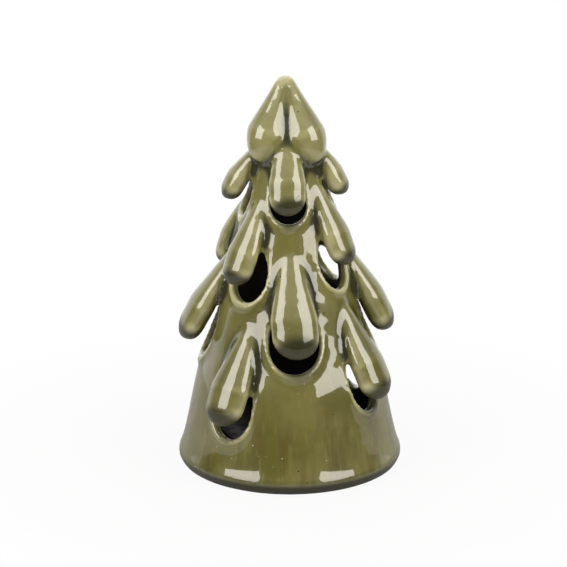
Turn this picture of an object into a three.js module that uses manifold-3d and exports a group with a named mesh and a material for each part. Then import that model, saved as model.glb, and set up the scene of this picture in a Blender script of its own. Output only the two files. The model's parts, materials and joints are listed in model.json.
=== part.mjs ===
// A pierced and glazed ceramic Christmas tree with a battery LED unit set into its floor.
// Millimetres, +Z up. The origin is the centre of the foot, on the table, and the front faces -Y.
import * as THREE from "three";
import { mergeVertices } from "three/addons/utils/BufferGeometryUtils.js";
import Module from "manifold-3d";

const wasm = await Module();
wasm.setup();

const { degToRad, radToDeg, lerp } = THREE.MathUtils;
const v2 = (x, y) => new THREE.Vector2(x, y);
const v3 = (x, y, z) => new THREE.Vector3(x, y, z);

// Clearances
const SEAT_GAP = 0.3; // between pieces that rest on or in each other
const CUT_OVERRUN = 1; // how far a cutter runs past the face that it opens

// Ceramic body
const TREE_HEIGHT = 180;
const FOOT_RADIUS = 49.5;
const FOOT_ROUND = 4.2;
const FOOT_LEAN = 15; // degrees that the wall leans in where the foot's rounding ends
const NOSE_ROUND = 3.4;
const NOSE_SPREAD = 8.4; // radius of the nose at its shoulder
const NOSE_SHOULDER = 167;
const TREE_WALL = 4.3;
const TREE_LEAN = 2; // sideways drift of the tip
const CEILING_HEIGHT = 158;
const FLOOR_THICKNESS = 5;
const RIM_CHAMFER = 1.5;
const TREE_SIDES = 40;
const WALL_STEPS = 11; // rings up the wall
const HOLLOW_COVE = 2; // rounding inside at the floor and at the ceiling

// Outer radius and height of the wall at a few places, with a smooth line through them. It spreads
// into the foot, stands steeper over it, leans in more at the middle and runs straight to the crown.
const WALL_STATIONS = [
  v2(46.6, 14),
  v2(44.1, 25),
  v2(41.2, 44),
  v2(34.7, 62),
  v2(28.6, 84),
  v2(19.1, 126),
  v2(13, 150),
];

// Crown drops, hanging from the nose. A drop's middle line is a curve from the nose, past two points
// that pull it out into a shoulder and a belly, down to its tip: each is (distance from axis, height).
const CROWN_TURNS = [-45, 45, 135, -135];
const CROWN_ROOT = v2(0, 176);
const CROWN_SHOULDER = v2(2.6, 168);
const CROWN_BELLY = v2(15.4, 156);
const CROWN_TIP = v2(14.4, 144.3);
const CROWN_DROP_RADIUS = 8.2;
const CROWN_ROOT_RADIUS = 2.8;
const CROWN_FULL_FROM = 0.7; // share of the way down at which a drop has its full radius
const CROWN_SWELL = 1.4; // above 1 a drop stays slim for longer before it swells
const CROWN_DROP_SIDES = 14;

// Tongues
const TONGUE_ROOT_SIZE = 0.34; // share of its full width and thickness that a tongue has at its root
const TONGUE_FULL_FROM = 0.55; // share of the way down at which a tongue has its full size
const TONGUE_CURL = 1; // how much further than its lift a tongue stands off just above its tip
const TONGUE_SIDES = 10;
const DROP_START = 0.02; // where the first ring of a drop or tongue lies, as a share of the way down
const DROP_ROOT_STEPS = 3;
const DROP_CAP_STEPS = 4;
const DROP_CAP_LIMIT = 0.45; // most of a drop's length that its round end may take
const DROP_CAP_FLATNESS = 0.7; // below 1 the round end stays thick for longer than it stays wide

// Windows
const WINDOW_BELLY = 0.42; // share of a window's height that lies under its widest place
const WINDOW_INWARD = 2.4; // how far a window's cutter reaches in, in wall thicknesses
const WINDOW_OUTWARD = 2; // how far it reaches out, in wall thicknesses
const WINDOW_FLARE_START = 0.2; // where the flare begins, in chamfers past the wall's face
const WINDOW_SEGMENTS = 5;

// Each tongue hangs from the wall over a window. turn is its place round the tree in degrees from the
// front, sway how far its root is turned away from that, tip the height of its lower end, lift how far
// its middle stands off the wall, and opening the place, lower edge and width of its window.
const TIERS = [
  {
    length: 30, thickness: 8, windowHeight: 19,
    tongues: [
      { turn: 0, sway: 0, tip: 124, width: 16.5, lift: 5, opening: { turn: 1, sill: 117, width: 15.5 } },
      { turn: 84, sway: 0, tip: 125.5, width: 13, lift: 5.2, opening: { turn: 84, sill: 118, width: 13 } },
      { turn: 178, sway: 3, tip: 123, width: 15, lift: 5, opening: { turn: 178, sill: 116.5, width: 15 } },
      { turn: -86, sway: 0, tip: 123, width: 14, lift: 7, opening: { turn: -84, sill: 115.5, width: 14 } },
    ],
  },
  {
    length: 40, thickness: 8.6, windowHeight: 27,
    tongues: [
      { turn: -46, sway: 4, tip: 90, width: 16, lift: 5.8, opening: { turn: -44, sill: 81, width: 20 } },
      { turn: 57, sway: -5, tip: 97, width: 15.5, lift: 4.6, opening: { turn: 53, sill: 86, width: 17 } },
      { turn: 140, sway: 4, tip: 90, width: 17, lift: 5, opening: { turn: 134, sill: 78.5, width: 15 } },
      { turn: -117, sway: 0, tip: 88, width: 16, lift: 3.6, opening: { turn: -117, sill: 78, width: 17 } },
    ],
  },
  {
    length: 47, thickness: 9.6, windowHeight: 30,
    tongues: [
      { turn: 5, sway: -3, tip: 61, width: 21.5, lift: 5.2, opening: { turn: 4, sill: 52.5, width: 22.5 } },
      { turn: 91, sway: 0, tip: 61, width: 18, lift: 7.6, opening: { turn: 91, sill: 51.5, width: 19 } },
      { turn: 182, sway: 3, tip: 59, width: 21, lift: 5.4, opening: { turn: 182, sill: 50.5, width: 21 } },
      { turn: -90, sway: 2, tip: 57, width: 20, lift: 9.2, opening: { turn: -90, sill: 48.5, width: 19 } },
    ],
  },
  {
    length: 45, thickness: 10, windowHeight: 31,
    tongues: [
      { turn: -38, sway: 4, tip: 29.5, width: 19.5, lift: 5.2, opening: { turn: -38, sill: 22, width: 21 } },
      { turn: 56, sway: -1, tip: 38, width: 19, lift: 5.6, opening: { turn: 55, sill: 32, width: 19 } },
      { turn: 142, sway: 3, tip: 30, width: 20, lift: 5, opening: { turn: 138, sill: 22, width: 18 } },
      { turn: -140, sway: -3, tip: 32, width: 19, lift: 5, opening: { turn: -139, sill: 24, width: 19 } },
    ],
  },
];

// LED unit: a base plate that closes the foot and a housing that stands up through the floor
const FLANGE_MARGIN = 0.4; // the flange past the sealing ring
const FLANGE_THICKNESS = 1.8;
const FLANGE_HEIGHT = 0.6; // underside of the flange above the table
const HOUSING_ROOM = 0.85; // from the corners of the battery bay to the housing's wall
const HOUSING_WALL = 1.5;
const HOUSING_CHAMFER = 0.8;
const FLOOR_CLEARANCE = 0.8; // round the housing in the ceramic floor
const SEAL_THICKNESS = 1;
const SEAL_WIDTH = 3.2;
const TURRET_RADIUS = 12.6;
const TURRET_HEIGHT = 3.8;
const LAMP_HOLE_CLEARANCE = 0.4;
const CAP_RADIUS = 7;
const CAP_WALL = 1.2;
const CAP_HEIGHT = 14;
const CAP_RING_WIDTH = 1;
const CAP_RING_HEIGHT = 1.2;
const DOME_STEPS = 4; // flats in a quarter round
const SHELL_SIDES = 40;
const BAR_SIDES = 20;
const BORE_SIDES = 12;

// Batteries, size AAA
const CELL_RADIUS = 5.25;
const CELL_LENGTH = 44.5;
const CELL_NUB_LENGTH = 0.8;
const CELL_NUB_RADIUS = 1.9;
const CELL_PITCH = 11.2;
const CELL_CREASE = 0.5;
const BAY_WALL = 1.2;
const NUB_ROOM = 2; // from a cell's nub to the bay's end wall
const SPRING_ROOM = 3.9; // from a cell's flat end to the bay's end wall
const BAY_SIDE_ROOM = 0.55;
const WIRE_LAYER = 1.3; // free height between the cells and the housing's top

// Battery door
const DOOR_THICKNESS = 1.6;
const DOOR_GAP = 0.4;
const HOOK_PLACES = [-15, 15];
const HOOK_WIDTH = 6;
const HOOK_REACH = 1.6; // past the edge of the opening
const HOOK_THICKNESS = 1.2;
const HOOK_NOTCH_ROOM = 0.5;
const HOOK_NOTCH_HEIGHT = 2.4;
const LATCH_WIDTH = 8;
const LATCH_THICKNESS = 0.6;
const LATCH_RISE = 2.6;
const GRIP_WIDTH = 0.6;
const GRIP_PITCH = 1.5;
const THUMB_NOTCH_RADIUS = 5;
const THUMB_NOTCH_REACH = 1.6;

// Slide switch
const SWITCH_ROOM = 4.5; // from the battery bay's wall to the switch
const SWITCH_TRAVEL = 4;
const SWITCH_CAN = v3(12.6, 5.8, 4.6);
const SWITCH_CAN_WALL = 0.5;
const SWITCH_SHOE = v3(4, 3.6, 1.8);
const SWITCH_STEM = v2(2.8, 2);
const SWITCH_PAD = v3(4, 3.6, 1);
const SWITCH_PAD_DROP = 0.25; // below the flange
const SWITCH_RECESS_DEPTH = 1;

// Circuit board, its parts and the lamp
const BOARD_ROOM = 0.7; // from the board's edge to the turret's wall
const BOARD_THICKNESS = 1.2;
const BOARD_RISE = 0.8; // above the underside of the housing's top
const BOARD_POSTS = [90, 210, 330];
const BOARD_POST_RADIUS = 0.9;
const BOARD_POST_INSET = 0.3; // from a post to the board's edge
const CHIP_SIZE = v3(5, 4, 1);
const CHIP_PLACE = v2(5, 3.6);
const RESISTOR_SIZE = v3(3.2, 1.6, 0.6);
const RESISTOR_PLACE = v2(-5.4, 3.4);
const LED_RADIUS = 2.5;
const LED_HEIGHT = 8.6;
const LED_FLANGE_RADIUS = 2.9;
const LED_FLANGE_THICKNESS = 1;
const LED_LEG = 0.5;
const LED_LEG_PITCH = 2.54;
const LED_LEG_SIDES = [-LED_LEG_PITCH / 2, LED_LEG_PITCH / 2];

// Screws
const SCREW_TURNS = [90, -137.5, -42.5]; // degrees from +X
const SCREW_ROOM = 0.7; // from a screw's collar to the housing's wall
const SCREW_RADIUS = 1;
const SCREW_LENGTH = 9.5;
const SCREW_HEAD_RADIUS = 2.4;
const SCREW_HEAD_THICKNESS = 1.4;
const SCREW_SLOT_WIDTH = 0.6;
const SCREW_SLOT_DEPTH = 0.6;
const BOSS_RADIUS = 3;
const COLLAR_WALL = 0.9;
const COLLAR_FLOOR = 1.5;

// Contacts and wires
const CONTACT_THICKNESS = 0.4;
const CONTACT_WIDTH = 8;
const CONTACT_HEIGHT = 9;
const CONTACT_TAB_WIDTH = 2;
const BUMP_RADIUS = 1.6;
const SPRING_WIRE_RADIUS = 0.25;
const SPRING_TURNS = 2.5;
const SPRING_RADIUS = 3.4;
const SPRING_TIP_RADIUS = 2.2;
const SPRING_STEPS = 10; // in each turn
const SPRING_SEGMENTS = 3;
const WIRE_RADIUS = 0.35;
const WIRE_END_GAP = 0.4;
const WIRE_SPREAD = 4.3; // how far outside the switch its wires come down
const WIRE_PADS = { plus: v2(5.6, 2.6), minus: v2(-4.4, -3.4) }; // where they end under the board
const WIRE_STEPS = 16;
const WIRE_SEGMENTS = 4;

// Heights and radii that follow from the sizes above
const WALL_FOOT = v2(
  FOOT_RADIUS - FOOT_ROUND + FOOT_ROUND * Math.cos(degToRad(FOOT_LEAN)),
  FOOT_ROUND + FOOT_ROUND * Math.sin(degToRad(FOOT_LEAN)),
);
const WALL_LINE = new THREE.SplineCurve([WALL_FOOT, ...WALL_STATIONS]);

const BAY_HALF_LENGTH = (CELL_LENGTH + NUB_ROOM + SPRING_ROOM) / 2;
const BAY_HALF_WIDTH = CELL_PITCH / 2 + CELL_RADIUS + BAY_SIDE_ROOM;
const BAY_CORNER = Math.hypot(BAY_HALF_LENGTH + BAY_WALL, BAY_HALF_WIDTH + BAY_WALL);
const HOUSING_RADIUS = BAY_CORNER + HOUSING_ROOM + HOUSING_WALL;
const FLOOR_HOLE_RADIUS = HOUSING_RADIUS + FLOOR_CLEARANCE;
const SEAL_RADIUS = FLOOR_HOLE_RADIUS + SEAL_WIDTH;
const FLANGE_RADIUS = SEAL_RADIUS + FLANGE_MARGIN;
const RECESS_RADIUS = FLANGE_RADIUS + FLOOR_CLEARANCE;
const COLLAR_RADIUS = SCREW_HEAD_RADIUS + SEAT_GAP + COLLAR_WALL;
const SCREW_REACH = HOUSING_RADIUS - HOUSING_WALL - SCREW_ROOM - COLLAR_RADIUS;
const SCREW_PLACES = SCREW_TURNS.map((turn) => onCircle(SCREW_REACH, turn));
const BOARD_RADIUS = TURRET_RADIUS - HOUSING_WALL - BOARD_ROOM;
const BOARD_POST_REACH = BOARD_RADIUS - BOARD_POST_RADIUS - BOARD_POST_INSET;
const SWITCH_PLACE = v2(0, -(BAY_HALF_WIDTH + BAY_WALL + SWITCH_ROOM + SWITCH_CAN.y / 2));

const FLANGE_TOP = FLANGE_HEIGHT + FLANGE_THICKNESS;
const SEAL_UNDERSIDE = FLANGE_TOP + SEAT_GAP;
const FLOOR_UNDERSIDE = SEAL_UNDERSIDE + SEAL_THICKNESS + SEAT_GAP;
const FLOOR_TOP = FLOOR_UNDERSIDE + FLOOR_THICKNESS;
const DOOR_TOP = FLANGE_HEIGHT + DOOR_THICKNESS;
const CELL_HEIGHT = DOOR_TOP + DOOR_GAP + CELL_RADIUS;
const CELL_TOP = CELL_HEIGHT + CELL_RADIUS;
const CELL_SHIFT = (SPRING_ROOM - NUB_ROOM) / 2;
const WIRE_HEIGHT = CELL_TOP + WIRE_LAYER / 2;
const HOUSING_CEILING = CELL_TOP + WIRE_LAYER;
const HOUSING_TOP = HOUSING_CEILING + HOUSING_WALL;
const TURRET_TOP = HOUSING_TOP + TURRET_HEIGHT;
const TURRET_CEILING = TURRET_TOP - HOUSING_WALL;
const CONTACT_FACE = BAY_HALF_LENGTH - SEAT_GAP - CONTACT_THICKNESS;
const BOARD_UNDERSIDE = HOUSING_CEILING + BOARD_RISE;
const BOARD_TOP = BOARD_UNDERSIDE + BOARD_THICKNESS;
const HEAD_SEAT = FLANGE_HEIGHT + SEAT_GAP + SCREW_HEAD_THICKNESS + SEAT_GAP;
const COLLAR_TOP = HEAD_SEAT + COLLAR_FLOOR;
const SWITCH_FLOOR = FLANGE_TOP + SEAT_GAP;

// The point at a distance from the axis, turned by degrees from +X.
function onCircle(radius, turn) {
  return v2(radius * Math.cos(degToRad(turn)), radius * Math.sin(degToRad(turn)));
}

// Turns a closed geometry into a solid that can be joined and cut.
function solidOf(geometry) {
  const bare = geometry.clone();
  bare.deleteAttribute("normal");
  bare.deleteAttribute("uv");
  const merged = mergeVertices(bare, 1e-4);
  return new wasm.Manifold(
    new wasm.Mesh({
      numProp: 3,
      vertProperties: new Float32Array(merged.getAttribute("position").array),
      triVerts: new Uint32Array(merged.index.array),
    }),
  );
}

// Turns a solid back into a geometry with a normal for each face.
function geometryOf(solid) {
  const mesh = solid.getMesh();
  const shared = new THREE.BufferGeometry();
  shared.setAttribute("position", new THREE.BufferAttribute(mesh.vertProperties, 3));
  shared.setIndex(new THREE.BufferAttribute(mesh.triVerts, 1));
  const geometry = shared.toNonIndexed();
  geometry.computeVertexNormals();
  return geometry;
}

const join = (solids) => solids.reduce((whole, solid) => whole.add(solid));
const cut = (solid, cutters) => cutters.reduce((rest, cutter) => rest.subtract(cutter), solid);

// A profile of (radius, height) points, revolved round the Z axis.
function revolve(points, sides) {
  return solidOf(new THREE.LatheGeometry(points, sides).rotateX(Math.PI / 2));
}

// A round bar or bore between two heights.
function cylinder(radius, low, high, place = v2(0, 0), sides = BAR_SIDES) {
  const profile = [v2(0, low), v2(radius, low), v2(radius, high), v2(0, high)];
  return revolve(profile, sides).translate([place.x, place.y, 0]);
}

// A flat ring between two radii and two heights.
function ring(inner, outer, low, high) {
  const profile = [v2(inner, low), v2(outer, low), v2(outer, high), v2(inner, high), v2(inner, low)];
  return revolve(profile, SHELL_SIDES);
}

// A box between two opposite corners.
function block(low, high) {
  const size = high.clone().sub(low);
  const middle = low.clone().add(high).multiplyScalar(0.5);
  return solidOf(new THREE.BoxGeometry(size.x, size.y, size.z).translate(middle.x, middle.y, middle.z));
}

// A box given by its middle in plan, its width and depth, and its two heights.
function slab(place, width, depth, low, high) {
  return block(
    v3(place.x - width / 2, place.y - depth / 2, low),
    v3(place.x + width / 2, place.y + depth / 2, high),
  );
}

// A round tube along a smooth line through the given points.
function tubeAlong(points, radius, steps, sides) {
  const section = new THREE.Shape().absarc(0, 0, radius, 0, 2 * Math.PI);
  const extrudePath = new THREE.CatmullRomCurve3(points);
  return solidOf(new THREE.ExtrudeGeometry(section, { extrudePath, steps, curveSegments: sides }));
}

// The wall's outer radius at a height, and how far it leans in there, in degrees.
function wallRadius(height) {
  let low = 0;
  let high = 1;
  for (let i = 0; i < 24; i++) {
    const middle = (low + high) / 2;
    if (WALL_LINE.getPoint(middle).y < height) low = middle;
    else high = middle;
  }
  return WALL_LINE.getPoint(low).x;
}

function wallLean(height) {
  const step = 4;
  return radToDeg(Math.atan2(wallRadius(height - step) - wallRadius(height + step), 2 * step));
}

// The outside of the tree: foot ring, rounded foot, leaning wall and nose.
function treeOutside() {
  const outline = new THREE.Path();
  outline.moveTo(0, FLOOR_UNDERSIDE);
  outline.lineTo(RECESS_RADIUS, FLOOR_UNDERSIDE);
  outline.lineTo(RECESS_RADIUS, 0);
  outline.lineTo(FOOT_RADIUS - FOOT_ROUND, 0);
  outline.absarc(FOOT_RADIUS - FOOT_ROUND, FOOT_ROUND, FOOT_ROUND, -Math.PI / 2, degToRad(FOOT_LEAN));
  WALL_LINE.getPoints(WALL_STEPS).slice(1).forEach((point) => outline.lineTo(point.x, point.y));
  outline.lineTo(NOSE_SPREAD, NOSE_SHOULDER);
  const noseBase = TREE_HEIGHT - NOSE_ROUND;
  outline.absarc(0, noseBase, NOSE_ROUND, Math.PI / 5, Math.PI / 2);
  return revolve(outline.getPoints(DOME_STEPS), TREE_SIDES);
}

// The hollow inside the tree, with the hole in its floor that takes the LED unit.
function treeHollow() {
  const low = FLOOR_TOP + HOLLOW_COVE;
  const shoulder = WALL_STATIONS.at(-1).y;
  const inside = (height) => wallRadius(height) - TREE_WALL;
  const outline = new THREE.Path();
  outline.moveTo(0, -CUT_OVERRUN);
  outline.lineTo(FLOOR_HOLE_RADIUS, -CUT_OVERRUN);
  outline.lineTo(FLOOR_HOLE_RADIUS, FLOOR_TOP);
  outline.lineTo(inside(low) - HOLLOW_COVE, FLOOR_TOP);
  outline.lineTo(inside(low), low);
  WALL_STATIONS.filter((station) => station.y > low + HOLLOW_COVE)
    .forEach((station) => outline.lineTo(inside(station.y), station.y));
  outline.quadraticCurveTo(inside(shoulder) - HOLLOW_COVE, CEILING_HEIGHT, 0, CEILING_HEIGHT);
  return revolve(outline.getPoints(DOME_STEPS), TREE_SIDES);
}

// Joins oval rings of points into a closed solid. Each station has a centre, the directions and half
// sizes of its oval, and the first and last stations are single points.
function loft(stations, sides) {
  const vertices = [];
  const faces = [];
  const inner = stations.slice(1, -1);
  vertices.push(...stations[0].centre.toArray());
  for (const { centre, across, outward, halfWidth, halfThickness } of inner) {
    for (let i = 0; i < sides; i++) {
      const angle = (2 * Math.PI * i) / sides;
      const point = centre.clone();
      point.addScaledVector(across, halfWidth * Math.cos(angle));
      point.addScaledVector(outward, halfThickness * Math.sin(angle));
      vertices.push(...point.toArray());
    }
  }
  vertices.push(...stations.at(-1).centre.toArray());
  const last = 1 + inner.length * sides;
  for (let i = 0; i < sides; i++) {
    const next = (i + 1) % sides;
    faces.push(0, 1 + next, 1 + i);
    for (let level = 0; level < inner.length - 1; level++) {
      const here = 1 + level * sides;
      const there = here + sides;
      faces.push(here + i, here + next, there + i);
      faces.push(here + next, there + next, there + i);
    }
    faces.push(last, last - sides + i, last - sides + next);
  }
  const geometry = new THREE.BufferGeometry();
  geometry.setAttribute("position", new THREE.Float32BufferAttribute(vertices, 3));
  geometry.setIndex(faces);
  return solidOf(geometry);
}

// A drop along a path: full at its middle, narrow at its root and round at its free end. pathAt gives
// the centre, for a share from 0 at the root to 1 at the end, and turnAt the place round the tree.
function drop({ pathAt, turnAt, halfWidth, halfThickness, rootSize, fullFrom, grow, length, sides }) {
  const capShare = Math.min(DROP_CAP_LIMIT, halfWidth / length);
  const capStart = 1 - capShare;
  const station = (share, widthShare, thicknessShare) => {
    const turn = degToRad(turnAt(share));
    const across = v3(Math.cos(turn), Math.sin(turn), 0);
    const nudge = DROP_START / 2;
    const tangent = pathAt(Math.min(1, share + nudge)).sub(pathAt(Math.max(0, share - nudge))).normalize();
    return {
      centre: pathAt(share),
      across,
      outward: tangent.clone().cross(across).normalize(),
      halfWidth: halfWidth * widthShare,
      halfThickness: halfThickness * thicknessShare,
    };
  };
  const stations = [station(0, 0, 0)];
  for (let i = 0; i <= DROP_ROOT_STEPS; i++) {
    const grown = i / DROP_ROOT_STEPS;
    const size = lerp(rootSize, 1, grow(grown));
    stations.push(station(lerp(DROP_START, fullFrom, grown), size, size));
  }
  for (let i = 0; i < DROP_CAP_STEPS; i++) {
    const angle = (i / DROP_CAP_STEPS) * (Math.PI / 2);
    const flat = Math.cos(angle);
    stations.push(station(capStart + capShare * Math.sin(angle), flat, flat ** DROP_CAP_FLATNESS));
  }
  stations.push(station(1, 0, 0));
  return loft(stations, sides);
}

// One of the fat drops that make the crown, from the nose down to its round bulb.
function crownDrop(turn) {
  const line = new THREE.CubicBezierCurve(CROWN_ROOT, CROWN_SHOULDER, CROWN_BELLY, CROWN_TIP);
  const upright = drop({
    pathAt: (share) => v3(0, -line.getPoint(share).x, line.getPoint(share).y),
    turnAt: () => 0,
    halfWidth: CROWN_DROP_RADIUS,
    halfThickness: CROWN_DROP_RADIUS,
    rootSize: CROWN_ROOT_RADIUS / CROWN_DROP_RADIUS,
    fullFrom: CROWN_FULL_FROM,
    grow: (share) => share ** CROWN_SWELL,
    length: CROWN_ROOT.y - CROWN_TIP.y,
    sides: CROWN_DROP_SIDES,
  });
  return upright.rotate([0, 0, turn]);
}

// One tongue: it starts inside the wall, runs down it and lifts away to a thick free tip.
function tongue(tier, { turn, sway, tip, width, lift }) {
  const standOff = new THREE.CubicBezierCurve(
    v2(0, -TREE_WALL / 2),
    v2(0, -TREE_WALL / 4),
    v2(0, lift + TONGUE_CURL),
    v2(0, lift),
  );
  const turnAt = (share) => turn + sway * (1 - share);
  const pathAt = (share) => {
    const height = tip + tier.length * (1 - share);
    const radius = wallRadius(height) + standOff.getPoint(share).y;
    const angle = degToRad(turnAt(share));
    return v3(radius * Math.sin(angle), -radius * Math.cos(angle), height);
  };
  return drop({
    pathAt,
    turnAt,
    halfWidth: width / 2,
    halfThickness: tier.thickness / 2,
    rootSize: TONGUE_ROOT_SIZE,
    fullFrom: TONGUE_FULL_FROM,
    grow: (share) => Math.sin((share * Math.PI) / 2),
    length: tier.length,
    sides: TONGUE_SIDES,
  });
}

// The egg-shaped cutter of the window behind a tongue, flared where it leaves the wall.
function windowCutter(tier, { turn, sill, width }) {
  const below = tier.windowHeight * WINDOW_BELLY;
  const above = tier.windowHeight - below;
  const outline = new THREE.Shape();
  outline.absellipse(0, 0, width / 2, below, Math.PI, 2 * Math.PI);
  outline.absellipse(0, 0, width / 2, above, 0, Math.PI);
  const through = new THREE.ExtrudeGeometry(outline, {
    depth: (WINDOW_INWARD + WINDOW_OUTWARD) * TREE_WALL, bevelEnabled: false, curveSegments: WINDOW_SEGMENTS,
  }).translate(0, 0, -WINDOW_INWARD * TREE_WALL);
  const flare = new THREE.ExtrudeGeometry(outline, {
    depth: WINDOW_OUTWARD * TREE_WALL, curveSegments: WINDOW_SEGMENTS,
    bevelSize: RIM_CHAMFER, bevelThickness: RIM_CHAMFER, bevelSegments: 1,
  }).translate(0, 0, WINDOW_FLARE_START * RIM_CHAMFER);
  const middle = sill + below;
  const cutter = solidOf(through).add(solidOf(flare)).rotate([90 - wallLean(middle), 0, 0]);
  return cutter.translate([0, -wallRadius(middle), middle]).rotate([0, 0, turn]);
}

// Lets the tree drift sideways with height, more towards the tip.
function leaning(solid) {
  return solid.warp((point) => {
    point[0] -= TREE_LEAN * (point[2] / TREE_HEIGHT) ** 2;
  });
}

function ceramicTree() {
  const windows = TIERS.flatMap((tier) => tier.tongues.map((one) => windowCutter(tier, one.opening)));
  const tongues = TIERS.flatMap((tier) => tier.tongues.map((one) => tongue(tier, one)));
  const hollow = treeHollow();
  const shell = cut(treeOutside(), [hollow, ...windows]);
  const added = cut(join([...tongues, ...CROWN_TURNS.map(crownDrop)]), [hollow]);
  return leaning(shell.add(added));
}

// The foam ring that seats the unit under the ceramic floor.
function sealingRing() {
  return ring(FLOOR_HOLE_RADIUS, SEAL_RADIUS, SEAL_UNDERSIDE, SEAL_UNDERSIDE + SEAL_THICKNESS);
}

// The housing: a cup turned over the batteries, with a turret for the board and a ring for the cap.
function unitHousing() {
  const inner = HOUSING_RADIUS - HOUSING_WALL;
  const lampHole = LED_FLANGE_RADIUS + LAMP_HOLE_CLEARANCE;
  const capRing = CAP_RADIUS + SEAT_GAP;
  const profile = [
    v2(inner, FLANGE_TOP + SEAT_GAP),
    v2(HOUSING_RADIUS, FLANGE_TOP + SEAT_GAP),
    v2(HOUSING_RADIUS, HOUSING_TOP - HOUSING_CHAMFER),
    v2(HOUSING_RADIUS - HOUSING_CHAMFER, HOUSING_TOP),
    v2(TURRET_RADIUS, HOUSING_TOP),
    v2(TURRET_RADIUS, TURRET_TOP),
    v2(capRing + CAP_RING_WIDTH, TURRET_TOP),
    v2(capRing + CAP_RING_WIDTH, TURRET_TOP + CAP_RING_HEIGHT),
    v2(capRing, TURRET_TOP + CAP_RING_HEIGHT),
    v2(capRing, TURRET_TOP),
    v2(lampHole, TURRET_TOP),
    v2(lampHole, TURRET_CEILING),
    v2(TURRET_RADIUS - HOUSING_WALL, TURRET_CEILING),
    v2(TURRET_RADIUS - HOUSING_WALL, HOUSING_CEILING),
    v2(inner, HOUSING_CEILING),
    v2(inner, FLANGE_TOP + SEAT_GAP),
  ];
  const cup = revolve(profile, SHELL_SIDES);
  const bossTop = HOUSING_CEILING + HOUSING_WALL / 2;
  const bosses = SCREW_PLACES.map((place) => cylinder(BOSS_RADIUS, COLLAR_TOP + SEAT_GAP, bossTop, place));
  const boreTop = FLANGE_HEIGHT + SEAT_GAP + SCREW_HEAD_THICKNESS + SCREW_LENGTH + CUT_OVERRUN / 2;
  const boreRadius = SCREW_RADIUS + SEAT_GAP;
  const bores = SCREW_PLACES.map((place) => cylinder(boreRadius, FLANGE_TOP, boreTop, place, BORE_SIDES));
  const postTop = TURRET_CEILING + HOUSING_WALL / 2;
  const posts = BOARD_POSTS.map((turn) => {
    const place = onCircle(BOARD_POST_REACH, turn);
    return cylinder(BOARD_POST_RADIUS, BOARD_TOP + SEAT_GAP, postTop, place, BORE_SIDES);
  });
  return cut(join([cup, ...bosses, ...posts]), bores);
}

// The base plate with its flange, battery bay, door opening, switch slot and screw collars.
function unitBase() {
  const plate = cylinder(FLANGE_RADIUS, FLANGE_HEIGHT, FLANGE_TOP, v2(0, 0), SHELL_SIDES);
  const bayWidth = 2 * BAY_HALF_WIDTH;
  const bayLength = 2 * BAY_HALF_LENGTH;
  const centre = v2(0, 0);
  const walls = slab(centre, bayLength + 2 * BAY_WALL, bayWidth + 2 * BAY_WALL, FLANGE_HEIGHT, CELL_TOP);
  const bay = slab(centre, bayLength, bayWidth, FLANGE_HEIGHT - CUT_OVERRUN, CELL_TOP + CUT_OVERRUN);
  const collars = SCREW_PLACES.map((place) => cylinder(COLLAR_RADIUS, FLANGE_HEIGHT, COLLAR_TOP, place));
  const seats = SCREW_PLACES.flatMap((place) => [
    cylinder(SCREW_HEAD_RADIUS + SEAT_GAP, FLANGE_HEIGHT - CUT_OVERRUN, HEAD_SEAT, place),
    cylinder(SCREW_RADIUS + SEAT_GAP, FLANGE_HEIGHT, COLLAR_TOP + CUT_OVERRUN, place, BORE_SIDES),
  ]);
  const notchHigh = FLANGE_TOP + HOOK_NOTCH_HEIGHT;
  const notches = HOOK_PLACES.map((x) => slab(
    v2(x, BAY_HALF_WIDTH + BAY_WALL / 2),
    HOOK_WIDTH + 2 * HOOK_NOTCH_ROOM,
    BAY_WALL + CUT_OVERRUN,
    FLANGE_TOP,
    notchHigh,
  ));
  const recess = slab(
    SWITCH_PLACE,
    SWITCH_PAD.x + SWITCH_TRAVEL + 2 * DOOR_GAP,
    SWITCH_PAD.y + 2 * DOOR_GAP,
    FLANGE_HEIGHT - CUT_OVERRUN,
    FLANGE_HEIGHT + SWITCH_RECESS_DEPTH,
  );
  const slot = slab(
    SWITCH_PLACE,
    SWITCH_STEM.x + SWITCH_TRAVEL + 2 * DOOR_GAP,
    SWITCH_STEM.y + 2 * DOOR_GAP,
    FLANGE_HEIGHT,
    FLANGE_TOP + CUT_OVERRUN,
  );
  const thumbPlace = v2(0, -BAY_HALF_WIDTH + THUMB_NOTCH_RADIUS - THUMB_NOTCH_REACH);
  const thumbTop = FLANGE_HEIGHT + FLANGE_THICKNESS / 2;
  const thumb = cylinder(THUMB_NOTCH_RADIUS, FLANGE_HEIGHT - CUT_OVERRUN, thumbTop, thumbPlace);
  return cut(join([plate, walls, ...collars]), [bay, ...seats, ...notches, recess, slot, thumb]);
}

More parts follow.
